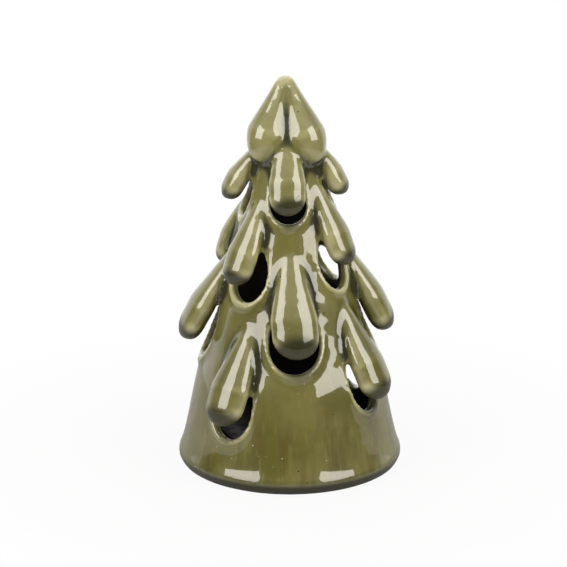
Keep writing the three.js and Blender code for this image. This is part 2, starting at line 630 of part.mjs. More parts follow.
// The battery door: a slab with two hooks over the plate's rear edge and a latch finger at its front.
function batteryDoor() {
  const halfLength = BAY_HALF_LENGTH - DOOR_GAP;
  const halfWidth = BAY_HALF_WIDTH - DOOR_GAP;
  const panel = block(v3(-halfLength, -halfWidth, FLANGE_HEIGHT), v3(halfLength, halfWidth, DOOR_TOP));
  const hooks = HOOK_PLACES.flatMap((x) => {
    const low = FLANGE_TOP + SEAT_GAP;
    const upright = block(
      v3(x - HOOK_WIDTH / 2, halfWidth - HOOK_THICKNESS, DOOR_TOP - HOOK_THICKNESS / 2),
      v3(x + HOOK_WIDTH / 2, halfWidth, low + HOOK_THICKNESS),
    );
    const lip = block(
      v3(x - HOOK_WIDTH / 2, halfWidth - HOOK_THICKNESS, low),
      v3(x + HOOK_WIDTH / 2, BAY_HALF_WIDTH + HOOK_REACH, low + HOOK_THICKNESS),
    );
    return [upright, lip];
  });
  const latch = block(
    v3(-LATCH_WIDTH / 2, -halfWidth, DOOR_TOP - HOOK_THICKNESS / 2),
    v3(LATCH_WIDTH / 2, -halfWidth + LATCH_THICKNESS, DOOR_TOP + LATCH_RISE),
  );
  const grips = [1, 2, 3].map((n) => slab(
    v2(0, -halfWidth + n * GRIP_PITCH),
    LATCH_WIDTH,
    GRIP_WIDTH,
    FLANGE_HEIGHT - CUT_OVERRUN,
    FLANGE_HEIGHT + DOOR_THICKNESS / 4,
  ));
  return cut(join([panel, ...hooks, latch]), grips);
}

// One AAA cell lying along X, with its nub towards +X for facing 1 and towards -X for facing -1.
function cell(facing) {
  const back = -CELL_LENGTH / 2;
  const front = CELL_LENGTH / 2 - CELL_NUB_LENGTH;
  const profile = [
    v2(0, back),
    v2(CELL_RADIUS - CELL_CREASE, back),
    v2(CELL_RADIUS, back + CELL_CREASE),
    v2(CELL_RADIUS, front - CELL_CREASE),
    v2(CELL_RADIUS - CELL_CREASE, front),
    v2(CELL_NUB_RADIUS, front),
    v2(CELL_NUB_RADIUS, front + CELL_NUB_LENGTH),
    v2(0, front + CELL_NUB_LENGTH),
  ];
  const lying = revolve(profile, BAR_SIDES).rotate([0, facing * 90, 0]);
  return lying.translate([facing * CELL_SHIFT, facing * (CELL_PITCH / 2), CELL_HEIGHT]);
}

// A contact plate against the bay's end wall, covering the given stretch of Y, with its bump and tab.
function contactPlate(end, fromY, toY, bumpY, tabY) {
  const near = Math.min(end * CONTACT_FACE, end * (CONTACT_FACE + CONTACT_THICKNESS));
  const far = near + CONTACT_THICKNESS;
  const low = CELL_HEIGHT - CONTACT_HEIGHT / 2;
  const high = CELL_HEIGHT + CONTACT_HEIGHT / 2;
  const pieces = [block(v3(near, fromY, low), v3(far, toY, high))];
  if (bumpY !== null) {
    const reach = CONTACT_FACE - (BAY_HALF_LENGTH - NUB_ROOM) - SEAT_GAP;
    const bump = cylinder(BUMP_RADIUS, -CONTACT_THICKNESS / 2, reach);
    pieces.push(bump.rotate([0, -end * 90, 0]).translate([end * CONTACT_FACE, bumpY, CELL_HEIGHT]));
  }
  if (tabY !== null) {
    const tab = block(v3(near, tabY - CONTACT_TAB_WIDTH / 2, CELL_HEIGHT),
      v3(far, tabY + CONTACT_TAB_WIDTH / 2, WIRE_HEIGHT + WIRE_RADIUS));
    pieces.push(tab);
  }
  return join(pieces);
}

// A cone-shaped coil between a contact plate and the flat end of a cell.
function contactSpring(end, y) {
  const from = CONTACT_FACE - SEAT_GAP - SPRING_WIRE_RADIUS;
  const to = BAY_HALF_LENGTH - SPRING_ROOM + SEAT_GAP + SPRING_WIRE_RADIUS;
  const steps = SPRING_STEPS * SPRING_TURNS;
  const points = [];
  for (let i = 0; i <= steps; i++) {
    const share = i / steps;
    const angle = 2 * Math.PI * SPRING_TURNS * share;
    const radius = lerp(SPRING_RADIUS, SPRING_TIP_RADIUS, share);
    const round = v2(radius * Math.cos(angle), radius * Math.sin(angle));
    points.push(v3(end * lerp(from, to, share), y + round.x, CELL_HEIGHT + round.y));
  }
  return tubeAlong(points, SPRING_WIRE_RADIUS, steps, SPRING_SEGMENTS);
}

// The round board with holes for the lamp's legs.
function circuitBoard() {
  const disc = cylinder(BOARD_RADIUS, BOARD_UNDERSIDE, BOARD_TOP);
  const low = BOARD_UNDERSIDE - CUT_OVERRUN;
  const high = BOARD_TOP + CUT_OVERRUN;
  const holes = LED_LEG_SIDES.map((side) => cylinder(LED_LEG, low, high, v2(side, 0), BORE_SIDES));
  return cut(disc, holes);
}

const onBoard = (place, size) => slab(
  place, size.x, size.y, BOARD_TOP + SEAT_GAP, BOARD_TOP + SEAT_GAP + size.z);

// The lamp: flange, body with a dome and two legs down through the board.
function lamp() {
  const foot = BOARD_TOP + SEAT_GAP;
  const domeBase = foot + LED_HEIGHT - LED_RADIUS;
  const outline = new THREE.Path();
  outline.moveTo(0, foot);
  outline.lineTo(LED_FLANGE_RADIUS, foot);
  outline.lineTo(LED_FLANGE_RADIUS, foot + LED_FLANGE_THICKNESS);
  outline.lineTo(LED_RADIUS, foot + LED_FLANGE_THICKNESS);
  outline.lineTo(LED_RADIUS, domeBase);
  outline.absarc(0, domeBase, LED_RADIUS, 0, Math.PI / 2);
  const body = revolve(outline.getPoints(DOME_STEPS), BAR_SIDES);
  const legTop = foot + LED_FLANGE_THICKNESS / 2;
  const legs = LED_LEG_SIDES.map((side) => slab(v2(side, 0), LED_LEG, LED_LEG, BOARD_UNDERSIDE, legTop));
  return join([body, ...legs]);
}

// The frosted cap over the lamp, open below.
function lightCap() {
  const low = TURRET_TOP + SEAT_GAP;
  const outline = new THREE.Path();
  const inside = CAP_RADIUS - CAP_WALL;
  const domeBase = low + CAP_HEIGHT - CAP_RADIUS;
  outline.moveTo(inside, low);
  outline.lineTo(CAP_RADIUS, low);
  outline.lineTo(CAP_RADIUS, domeBase);
  outline.absarc(0, domeBase, CAP_RADIUS, 0, Math.PI / 2);
  outline.lineTo(0, domeBase + inside);
  outline.absarc(0, domeBase, inside, Math.PI / 2, 0, true);
  outline.lineTo(inside, low);
  return revolve(outline.getPoints(DOME_STEPS), BAR_SIDES);
}

// The switch's metal can, open below.
function switchCan() {
  const top = SWITCH_FLOOR + SWITCH_CAN.z;
  const outer = slab(SWITCH_PLACE, SWITCH_CAN.x, SWITCH_CAN.y, SWITCH_FLOOR, top);
  const inside = slab(SWITCH_PLACE, SWITCH_CAN.x - 2 * SWITCH_CAN_WALL, SWITCH_CAN.y - 2 * SWITCH_CAN_WALL,
    SWITCH_FLOOR - CUT_OVERRUN, top - SWITCH_CAN_WALL);
  return cut(outer, [inside]);
}

// The sliding knob at the off end of its travel: shoe in the can, stem through the plate, ribbed pad.
function switchKnob() {
  const off = v2(SWITCH_PLACE.x - SWITCH_TRAVEL / 2, SWITCH_PLACE.y);
  const padLow = FLANGE_HEIGHT - SWITCH_PAD_DROP;
  const shoeLow = SWITCH_FLOOR;
  const shoe = slab(off, SWITCH_SHOE.x, SWITCH_SHOE.y, shoeLow, shoeLow + SWITCH_SHOE.z);
  const stemLow = padLow + SWITCH_PAD.z / 2;
  const stem = slab(off, SWITCH_STEM.x, SWITCH_STEM.y, stemLow, shoeLow + SWITCH_SHOE.z / 2);
  const pad = slab(off, SWITCH_PAD.x, SWITCH_PAD.y, padLow, padLow + SWITCH_PAD.z);
  const grooves = [-1, 0, 1].map((n) => slab(
    v2(off.x + (n * SWITCH_PAD.x) / 4, off.y),
    SWITCH_PAD.x / 8, SWITCH_PAD.y + CUT_OVERRUN, padLow - CUT_OVERRUN, padLow + SWITCH_PAD.z / 4));
  return cut(join([shoe, stem, pad]), grooves);
}

// A self-tapping screw with its cross-slotted head in the base plate.
function screw(place) {
  const low = FLANGE_HEIGHT + SEAT_GAP;
  const neck = low + SCREW_HEAD_THICKNESS;
  const profile = [
    v2(0, low),
    v2(SCREW_HEAD_RADIUS, low),
    v2(SCREW_HEAD_RADIUS, neck),
    v2(SCREW_RADIUS, neck),
    v2(SCREW_RADIUS, neck + SCREW_LENGTH - 2 * SCREW_RADIUS),
    v2(0, neck + SCREW_LENGTH),
  ];
  const across = SCREW_HEAD_RADIUS + SCREW_SLOT_WIDTH;
  const slots = [v2(across, SCREW_SLOT_WIDTH), v2(SCREW_SLOT_WIDTH, across)].map((size) => slab(
    v2(0, 0), size.x, size.y, low - CUT_OVERRUN, low + SCREW_SLOT_DEPTH));
  return cut(revolve(profile, BAR_SIDES), slots).translate([place.x, place.y, 0]);
}

// Wires in the layer over the cells: from each contact's tab and the switch to the board.
const wireStart = (y) => v3(CONTACT_FACE - WIRE_END_GAP - WIRE_RADIUS, y, WIRE_HEIGHT);
const wireEnd = (pad) => v3(pad.x, pad.y, BOARD_UNDERSIDE - WIRE_END_GAP);
const between = (from, to, share) => v3(lerp(from.x, to.x, share), lerp(from.y, to.y, share), WIRE_HEIGHT);

// The stretch on one side of the switch: over the bay's wall and down to the switch's end.
function besideSwitch(side) {
  const end = v3(
    SWITCH_PLACE.x + side * (SWITCH_CAN.x / 2 + WIRE_END_GAP + WIRE_RADIUS),
    SWITCH_PLACE.y,
    SWITCH_FLOOR + SWITCH_CAN.z / 2,
  );
  const over = v3(end.x + side * WIRE_SPREAD, -BAY_HALF_WIDTH - BAY_WALL, WIRE_HEIGHT);
  return [over, over.clone().lerp(end, 0.55), end];
}

function plusWire() {
  const start = wireStart(CELL_PITCH / 2);
  const end = wireEnd(WIRE_PADS.plus);
  const route = [start, between(start, end, 0.35), between(start, end, 0.8), end];
  return tubeAlong(route, WIRE_RADIUS, WIRE_STEPS, WIRE_SEGMENTS);
}

function minusWire() {
  const start = wireStart(-CELL_PITCH / 2);
  const descent = besideSwitch(1);
  const route = [start, between(start, descent[0], 0.5), ...descent];
  return tubeAlong(route, WIRE_RADIUS, WIRE_STEPS, WIRE_SEGMENTS);
}

function switchWire() {
  const end = wireEnd(WIRE_PADS.minus);
  const climb = besideSwitch(-1).reverse();
  const route = [...climb, between(climb.at(-1), end, 0.5), between(climb.at(-1), end, 0.85), end];
  return tubeAlong(route, WIRE_RADIUS, WIRE_STEPS, WIRE_SEGMENTS);
}

const finish = (color, roughness, metalness = 0, extra = {}) =>
  new THREE.MeshStandardMaterial({ color, roughness, metalness, ...extra });

const tree = new THREE.Group();

function place(name, solid, material) {
  const mesh = new THREE.Mesh(geometryOf(solid), material);
  mesh.name = name;
  tree.add(mesh);
}

const halfPitch = CELL_PITCH / 2;
const halfPlate = CONTACT_WIDTH / 2;

place("ceramic_tree", ceramicTree(), finish(0x6e6a2e, 0.12));
place("sealing_ring", sealingRing(), finish(0x2b2b2b, 0.95));
place("unit_housing", unitHousing(), finish(0x1a1a1a, 0.45));
place("unit_base", unitBase(), finish(0x1c1c1c, 0.5));
place("battery_door", batteryDoor(), finish(0x202020, 0.5));
place("aaa_cell_1", cell(1), finish(0x2f4f3a, 0.35));
place("aaa_cell_2", cell(-1), finish(0x2f4f3a, 0.35));
place("contact_join", contactPlate(-1, -halfPitch - halfPlate, halfPitch + halfPlate, -halfPitch, null),
  finish(0xb8b8b0, 0.3, 1));
place("contact_plus", contactPlate(1, halfPitch - halfPlate, halfPitch + halfPlate, halfPitch, halfPitch),
  finish(0xb8b8b0, 0.3, 1));
place("contact_minus", contactPlate(1, -halfPitch - halfPlate, -halfPitch + halfPlate, null, -halfPitch),
  finish(0xb8b8b0, 0.3, 1));
place("contact_spring_1", contactSpring(-1, halfPitch), finish(0xc4c4bc, 0.25, 1));
place("contact_spring_2", contactSpring(1, -halfPitch), finish(0xc4c4bc, 0.25, 1));
place("circuit_board", circuitBoard(), finish(0x1f5a38, 0.55));
place("flicker_chip", onBoard(CHIP_PLACE, CHIP_SIZE), finish(0x151515, 0.4));
place("resistor", onBoard(RESISTOR_PLACE, RESISTOR_SIZE), finish(0x3a3128, 0.5));
place("led_lamp", lamp(), finish(0xf2e6b8, 0.1));
place("light_cap", lightCap(), finish(0xf1efe8, 0.6));
place("wire_plus", plusWire(), finish(0x9c1d18, 0.5));
place("wire_minus", minusWire(), finish(0x181818, 0.5));
place("wire_switch", switchWire(), finish(0x181818, 0.5));
place("switch_can", switchCan(), finish(0xb0b0aa, 0.35, 1));
place("switch_knob", switchKnob(), finish(0x141414, 0.45));
SCREW_PLACES.forEach((at, index) => place(`base_screw_${index + 1}`, screw(at), finish(0x9a9a94, 0.35, 1)));

export default tree;
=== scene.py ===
import json
from collections import namedtuple
from math import asin, atan, atan2, comb, cos, pi, radians, sin

import bpy
import numpy as np
from bpy.props import FloatProperty, FloatVectorProperty, IntProperty, PointerProperty
from bpy.types import Operator, Panel, PropertyGroup
from mathutils import Matrix, Vector


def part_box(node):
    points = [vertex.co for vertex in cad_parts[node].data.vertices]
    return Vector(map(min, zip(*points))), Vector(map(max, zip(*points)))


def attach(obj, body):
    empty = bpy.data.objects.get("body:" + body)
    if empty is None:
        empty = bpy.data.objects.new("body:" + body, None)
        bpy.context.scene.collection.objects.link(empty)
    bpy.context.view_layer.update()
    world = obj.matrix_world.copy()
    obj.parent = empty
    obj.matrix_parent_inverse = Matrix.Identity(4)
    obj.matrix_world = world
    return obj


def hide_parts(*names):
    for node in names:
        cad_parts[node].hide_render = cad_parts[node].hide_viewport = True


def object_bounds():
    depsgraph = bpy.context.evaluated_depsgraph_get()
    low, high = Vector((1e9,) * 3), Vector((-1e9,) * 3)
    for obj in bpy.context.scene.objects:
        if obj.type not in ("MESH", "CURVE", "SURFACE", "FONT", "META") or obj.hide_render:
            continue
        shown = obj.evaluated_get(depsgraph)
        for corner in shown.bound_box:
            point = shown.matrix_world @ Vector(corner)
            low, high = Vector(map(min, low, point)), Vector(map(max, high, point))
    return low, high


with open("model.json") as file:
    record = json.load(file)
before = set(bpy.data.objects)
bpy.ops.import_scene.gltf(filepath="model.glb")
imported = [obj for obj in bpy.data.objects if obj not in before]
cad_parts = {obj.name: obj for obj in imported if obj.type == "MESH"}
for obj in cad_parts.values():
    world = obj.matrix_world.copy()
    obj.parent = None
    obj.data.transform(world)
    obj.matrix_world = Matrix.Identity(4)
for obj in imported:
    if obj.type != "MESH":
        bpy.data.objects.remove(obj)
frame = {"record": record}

bl_info = {
    "name": "Glazed Tree Lantern",
    "version": (1, 0, 0),
    "blender": (4, 5, 0),
    "location": "3D View > Sidebar > Tree Lantern",
    "description": "Builds a pierced ceramic tree with its LED unit, one operator for each piece",
    "category": "Object",
}

MM = 0.001
ORIGIN = (0.0, 0.0, 0.0)
CAD_LOW, CAD_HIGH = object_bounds()

# Outer radius and height of the tree's wall at a few places, in millimetres, from the foot's rounding up.
WALL_STATIONS = [
    (49.8, 5.29), (48.2, 9.2), (46.95, 13.8), (44.8, 24), (42.8, 34.5),
    (40.4, 45), (35, 62), (29, 84), (18.4, 126), (12.2, 150),
]
# The rounding of the foot below the wall: how far out of its widest radius it lies, and its height.
FOOT_EDGE = [(-2.9, 0), (-2.1, 0.3), (-0.3, 3.8), (-0.02, 4.5), (0, 4.9)]
# The nose above the wall, as radius and height, and its last ring, as radius and height from the top.
NOSE = [(7, 155), (6.2, 161), (6.2, 167), (5.8, 171.3), (5.0, 175.6), (3.8, 178.3)]
NOSE_TIP = (2.1, -0.3)

# Tiers of tongues, in millimetres: length, thickness and window height of the tier, and the share of the way
# up a tongue over which the lip beside it sinks into the wall. Then for each tongue its turn round the tree
# in degrees from the front, how far its root is turned away from that, the height of its tip, its width and
# how far its middle stands off the wall, and its window's turn, sill and width.
Tier = namedtuple("Tier", "length thickness window_height lip_share")
Row = namedtuple("Row", "turn sway tip width lift window_turn sill window_width")
TIERS = [
    (39, 8.4, 19, 0.95, [
        (0, 0, 122.5, 17, 5.2, 1, 117, 15.5),
    ]),
    (30, 8, 19, 0.5, [
        (84, 0, 125.5, 13, 5.2, 84, 118, 13),
        (178, 3, 123, 15, 5, 178, 116.5, 15),
        (-86, 0, 123, 14, 7, -84, 115.5, 14),
    ]),
    (40, 8.6, 27, 0.45, [
        (-46, 4, 90, 16, 5.8, -44, 81, 20),
        (57, -5, 97, 15.5, 4.6, 53, 86, 17),
        (140, 4, 90, 17, 5, 134, 78.5, 15),
        (-117, 0, 88, 16, 3.6, -117, 78, 17),
    ]),
    (47, 9.6, 30, 0.45, [
        (5, -3, 61, 21.5, 5.2, 4, 52.5, 22.5),
        (91, 0, 61, 18, 7.6, 91, 51.5, 19),
        (182, 3, 59, 21, 5.4, 182, 50.5, 21),
        (-90, 2, 57, 20, 9.2, -90, 48.5, 19),
    ]),
    (45, 10, 31, 0.45, [
        (-38, 4, 29.5, 19.5, 5.2, -38, 22, 21),
        (56, -1, 38, 19, 5.6, 55, 32, 19),
        (142, 3, 30, 20, 5, 138, 22, 18),
        (-140, -3, 32, 19, 5, -139, 24, 19),
    ]),
]

# A crown drop's middle line, in millimetres: distance from the axis and height of its four guide points.
CROWN_LINE = [(0.6, 176.5), (4.6, 168.5), (9.2, 157.5), (15.2, 142.6)]
# Each crown drop's turn round the tree, in degrees, its size, and how far it hangs lower, in millimetres.
CROWN_DROPS = [(-50, 1, 0), (50, 1, 0.6), (141, 0.95, 2), (-141, 0.95, 2)]

# Share of a window's height that lies below its widest place.
WINDOW_LOW = 0.42

# The raised lip that starts above each tongue's root, runs down beside it and under its window: its radius,
# its distance from the window, how far it stands off the wall and sinks into it, and how much thicker it is
# under the window, in millimetres, and the share of that by which it also moves down and in.
LIP_RADIUS = 1.35
LIP_MARGIN = 0.8
LIP_STAND = -0.35
LIP_SINK = 1.5
LIP_SAG = 1.2
SAG_SHIFT = 0.6

# A ring of a loft: its centre and tilt in the plane of Y and Z, half its width and thickness, and its twist
# round the tree, in millimetres and radians.
Station = namedtuple("Station", "y z tilt width thickness twist")

# The softboxes: turn round the tree and height in degrees, share of the power, and size.
SOFTBOXES = [
    ("softbox_left", -51, 28, 1, 1), ("softbox_right", 51, 28, 1, 1), ("softbox_behind", 180, 42, 0.8, 2.2),
]

# The finishes of the LED unit by their slots' names, once they are mixed.
FINISHES = {}


def measure(name, description, default, unit="LENGTH"):
    """A length that a user can change, or another measure with its unit."""
    return FloatProperty(name=name, description=description, default=default, unit=unit)


class TreeSizes(PropertyGroup):
    """Sizes of the glazed tree"""

    height: measure("Height", "Height of the tree", CAD_HIGH.z)
    foot_radius: measure("Foot radius", "Widest radius, just over the foot", 49.9 * MM)
    wall: measure("Wall", "Thickness of the ceramic wall", 4.3 * MM)
    lean: measure("Lean", "Sideways drift of the tip", 2 * MM)
    crown_radius: measure("Crown drop", "Radius of a crown drop", 9.7 * MM)
    wobble: measure("Wobble", "Unevenness of the hand-worked clay", 0.8 * MM)
    clay_grain: measure("Clay grain", "Size of the cells that the clay is blended with", 1.0 * MM)
    kept_faces: FloatProperty(
        name="Kept faces", description="Share of the faces that is kept when the inside is thinned out",
        default=0.76, min=0.3, max=1.0, subtype="FACTOR")
    glaze_flow: IntProperty(name="Glaze flow", description="How often the surface is smoothed", default=8, min=1)
    pooling: IntProperty(
        name="Pooling", description="How often the glaze in the creases is smoothed", default=30, min=1)


def paint(name, description, default):
    """A colour that a user can change."""
    return FloatVectorProperty(name=name, description=description, default=default, subtype="COLOR")


class GlazeColours(PropertyGroup):
    """Colours of the glaze"""

    olive: paint("Olive", "Glaze at its usual depth", (0.103, 0.094, 0.013))
    light: paint("Light olive", "Glaze where it is a little thinner", (0.20, 0.184, 0.058))
    brown: paint("Brown", "Iron streaks low down", (0.085, 0.062, 0.012))
    # The foot colour is partly the bare foot's own grey green and partly painted shade, as the edge turns under
    # towards the floor.
    foot: paint("Foot", "Grey green edge of the foot", (0.022, 0.022, 0.009))
    pale: paint("Pale", "Thin glaze on rims and ridges", (0.44, 0.41, 0.22))
    # Deep is the real glaze pooled at the tongues' tips and the dark specks, and also painted shade in the
    # creases.
    deep_glaze_and_shade: paint("Deep", "Glaze pooled in creases and at tips", (0.017, 0.017, 0.005))
    inner: paint("Inside", "Dark slip inside the tree", (0.012, 0.0105, 0.008))


class UnitColours(PropertyGroup):
    """Colours of the LED unit"""

    plastic: paint("Plastic", "Moulded plastic of the unit", (0.016, 0.015, 0.016))
    foam: paint("Foam", "Sealing foam", (0.03, 0.03, 0.03))
    sleeve: paint("Cell sleeve", "Printed sleeve of the cells", (0.012, 0.05, 0.025))
    band: paint("Cell band", "Band at each end of the sleeve", (0.3, 0.19, 0.03))
    nickel: paint("Nickel", "Contacts and cell ends", (0.62, 0.6, 0.56))
    steel: paint("Steel", "Screws and the switch", (0.5, 0.5, 0.49))
    board: paint("Board", "Solder mask of the circuit board", (0.012, 0.09, 0.03))
    copper: paint("Copper", "Tracks under the solder mask", (0.05, 0.2, 0.06))
    tin: paint("Tin", "Ends of the resistor", (0.6, 0.6, 0.58))
    red: paint("Red wire", "Insulation of the plus wire", (0.42, 0.012, 0.01))
    epoxy: paint("Lamp", "Clear epoxy with warm phosphor", (0.9, 0.8, 0.5))
    frost: paint("Light cap", "Frosted cap over the lamp", (0.8, 0.79, 0.75))


class StageSettings(PropertyGroup):
    """Camera and light"""

    elevation: FloatProperty(
        name="Elevation", description="Camera's angle above the horizon",
        default=radians(19.5), subtype="ANGLE")
    distance: measure("Distance", "Camera's distance from the tree", 3.0)
    frame_width: measure("Frame width", "Width that the picture takes in at the tree", 0.2511)
    softbox_power: measure("Softbox power", "Power of each softbox", 11.3, "POWER")
    below_power: measure("Power below", "Power of the lamp that shows the LED unit from below", 25.0, "POWER")
    surround: measure("Surround", "Strength of the diffuse light from all round", 0.3, "NONE")
    studio_dark: measure("Studio dark", "What the glaze mirrors from the unlit side of the room", 0.07, "NONE")


def deselect_all():
    """Leave edit mode and let go of everything, the frame's nodes included."""
    if bpy.context.object and bpy.context.object.mode != "OBJECT":
        bpy.ops.object.mode_set(mode="OBJECT")
    bpy.ops.object.select_all(action="DESELECT")


def select_only(*pieces):
    deselect_all()
    for piece in pieces:
        piece.select_set(True)
    bpy.context.view_layer.objects.active = pieces[0]


def edit(piece):
    select_only(piece)
    bpy.ops.object.mode_set(mode="EDIT")
    bpy.ops.mesh.select_all(action="SELECT")


def leave_edit():
    bpy.ops.object.mode_set(mode="OBJECT")


def settle(piece):
    """Put a piece's place, turn and size into its mesh."""
    select_only(piece)
    bpy.ops.object.transform_apply(location=True, rotation=True, scale=True)
    return piece


def joined(name, pieces):
    select_only(*pieces)
    if len(pieces) > 1:
        bpy.ops.object.join()
    piece = bpy.context.object
    piece.name = name
    piece.data.name = name
    return piece


def tidy_faces(piece):
    edit(piece)
    bpy.ops.mesh.remove_doubles(threshold=0.01 * MM)
    bpy.ops.mesh.normals_make_consistent(inside=False)
    leave_edit()


def apply_modifier(piece, kind, **values):
    select_only(piece)
    modifier = piece.modifiers.new(kind.title(), kind)
    for key, value in values.items():
        setattr(modifier, key, value)
    bpy.ops.object.modifier_apply(modifier=modifier.name)


def smooth_by_angle(piece, crease):
    """Shade a piece smooth, but for the edges that are sharper than an angle in degrees."""
    select_only(piece)
    bpy.ops.object.shade_smooth_by_angle(angle=radians(crease))


def turned_profile(name, points, steps):
    """Draw a profile of (radius, height) points in millimetres and spin it round the Z axis."""
    corners = [Vector((radius * MM, 0, height * MM)) for radius, height in points]
    deselect_all()
    bpy.ops.mesh.primitive_plane_add(size=MM, location=corners[0])
    piece = settle(bpy.context.object)
    edit(piece)
    bpy.ops.mesh.merge(type="CENTER")
    for before, after in zip(corners, corners[1:]):
        bpy.ops.mesh.extrude_region_move(TRANSFORM_OT_translate={"value": after - before})
    bpy.ops.mesh.select_all(action="SELECT")
    bpy.ops.mesh.spin(steps=steps, angle=2 * pi, center=ORIGIN, axis=(0, 0, 1))
    leave_edit()
    tidy_faces(piece)
    piece.name = name
    return piece


def catmull(points, share):
    """A smooth line through points, by a share of its whole from 0 to 1."""
    place = share * (len(points) - 1)
    index = min(int(place), len(points) - 2)
    part = place - index
    picked = [points[min(max(index + step, 0), len(points) - 1)] for step in (-1, 0, 1, 2)]
    before, start, end, after = (np.array(point, float) for point in picked)
    in_speed = (end - before) / 2
    out_speed = (after - start) / 2
    cubic = 2 * start - 2 * end + in_speed + out_speed
    square = -3 * start + 3 * end - 2 * in_speed - out_speed
    return ((cubic * part + square) * part + in_speed) * part + start


def bezier(points, share):
    weights = [comb(3, i) * (1 - share) ** (3 - i) * share ** i for i in range(4)]
    return sum(weight * np.array(point, float) for weight, point in zip(weights, points))


WALL_LINE = np.array([catmull(WALL_STATIONS, i / 200) for i in range(201)])


def wall_radius(height):
    """The wall's outer radius at a height or heights, in millimetres."""
    return np.interp(height, WALL_LINE[:, 1], WALL_LINE[:, 0])


def wall_lean(height):
    near = 4
    return atan2(wall_radius(height - near) - wall_radius(height + near), 2 * near)


def ring_loft(name, stations, sides):
    """Draw a circle, extrude it from station to station, and close its ends."""
    deselect_all()
    bpy.ops.mesh.primitive_circle_add(vertices=sides, radius=MM, fill_type="NOTHING")
    piece = bpy.context.object
    edit(piece)
    move_ring(Station(0, 0, 0, 1, 1, 0), stations[0])
    close_end()
    select_ring(piece, sides)
    bpy.ops.object.mode_set(mode="EDIT")
    for before, after in zip(stations, stations[1:]):
        bpy.ops.mesh.extrude_region_move()
        move_ring(before, after)
    close_end()
    tidy_faces(piece)
    piece.name = name
    return piece


def move_ring(before, after):
    """Take the selected ring from one station to another."""
    centre = (0, before.y * MM, before.z * MM)
    turn_selection(-before.twist, "Z", ORIGIN)
    turn_selection(-before.tilt, "X", centre)
    ratio = (after.width / before.width, after.thickness / before.thickness, 1)
    bpy.ops.transform.resize(value=ratio, center_override=centre)
    turn_selection(after.tilt, "X", centre)
    bpy.ops.transform.translate(value=(0, (after.y - before.y) * MM, (after.z - before.z) * MM))
    turn_selection(after.twist, "Z", ORIGIN)


def close_end():
    """Draw the selected ring together in its middle, and leave edit mode."""
    bpy.ops.mesh.extrude_region_move()
    bpy.ops.mesh.merge(type="CENTER")
    bpy.ops.mesh.select_all(action="DESELECT")
    leave_edit()


def select_ring(piece, sides):
    """Select the first ring of a loft, which is its first vertices."""
    for vertex in piece.data.vertices:
        vertex.select = vertex.index < sides
    for edge in piece.data.edges:
        edge.select = all(index < sides for index in edge.vertices)
    for face in piece.data.polygons:
        face.select = False


def turn_selection(angle, axis, centre):
    """Turn what is selected by a right-handed angle. The operator itself turns the other way here."""
    if abs(angle) > 1e-6:
        bpy.ops.transform.rotate(value=-angle, orient_axis=axis, center_override=centre)


def drop_stations(path, twist_at, half_width, half_thickness, root, full_from, swell, cap):
    """Rings of a drop: narrow at its root, full from a share of the way down, and round over the last share,
    its cap. The swell is the power by which it widens."""
    start, near = 0.02, 0.01
    root_rings, cap_rings = 6, 8
    shares = []
    for i in range(root_rings + 1):
        size = root + (1 - root) * (i / root_rings) ** swell
        shares.append((start + (full_from - start) * i / root_rings, size, 1))
    for i in range(1, cap_rings):
        angle = i / cap_rings * pi / 2
        shares.append((1 - cap + cap * sin(angle), cos(angle), cos(angle) ** -0.3))
    stations = []
    for share, size, thicker in shares:
        ahead = path(min(1, share + near))
        behind = path(max(0, share - near))
        tilt = atan2(ahead[0] - behind[0], behind[1] - ahead[1])
        thickness = half_thickness * size * thicker
        stations.append(Station(*path(share), tilt, half_width * size, thickness, twist_at(share)))
    return stations


def tongue_rows():
    """Each tongue's tier and its own row."""
    for *tier, rows in TIERS:
        for row in rows:
            yield Tier(*tier), Row(*row)


def tongue(tier, row, wall):
    """One tongue, from inside the wall down to its free tip."""
    def path(share):
        height = row.tip + tier.length * (1 - share)
        off = bezier([-wall / 2, -wall / 4, row.lift + 1, row.lift], share)
        return -(wall_radius(height) + off), height

    def twist_at(share):
        return radians(row.turn + row.sway * (1 - share))

    half_width, half_thickness = row.width / 2, 0.63 * tier.thickness
    stations = drop_stations(
        path, twist_at, half_width, half_thickness, root=0.2, full_from=0.64, swell=0.8,
        cap=min(0.45, half_width / tier.length))
    return ring_loft("tongue", stations, 24)


def on_wall(turn, across, height, stand):
    """A place on the wall, in millimetres: its height, how far across from a turn round the tree (degrees),
    and how far it stands off the surface."""
    radius = wall_radius(height)
    angle = radians(turn) + asin(max(-1, min(1, across / radius)))
    reach = radius + stand
    return Vector((reach * sin(angle), -reach * cos(angle), height))


def tube(name, points, radii, closed=False, sides=3):
    """A round tube through points, with its radius at each, all in millimetres."""
    data = bpy.data.curves.new(name, "CURVE")
    data.dimensions = "3D"
    data.bevel_depth = MM
    data.bevel_resolution = sides
    data.use_fill_caps = not closed
    spline = data.splines.new("POLY")
    spline.points.add(len(points) - 1)
    for point, place, radius in zip(spline.points, points, radii):
        point.co = (*(Vector(place) * MM), 1)
        point.radius = radius
    spline.use_cyclic_u = closed
    piece = bpy.data.objects.new(name, data)
    bpy.context.scene.collection.objects.link(piece)
    select_only(piece)
    bpy.ops.object.convert(target="MESH")
    piece = bpy.context.object
    tidy_faces(piece)
    return piece


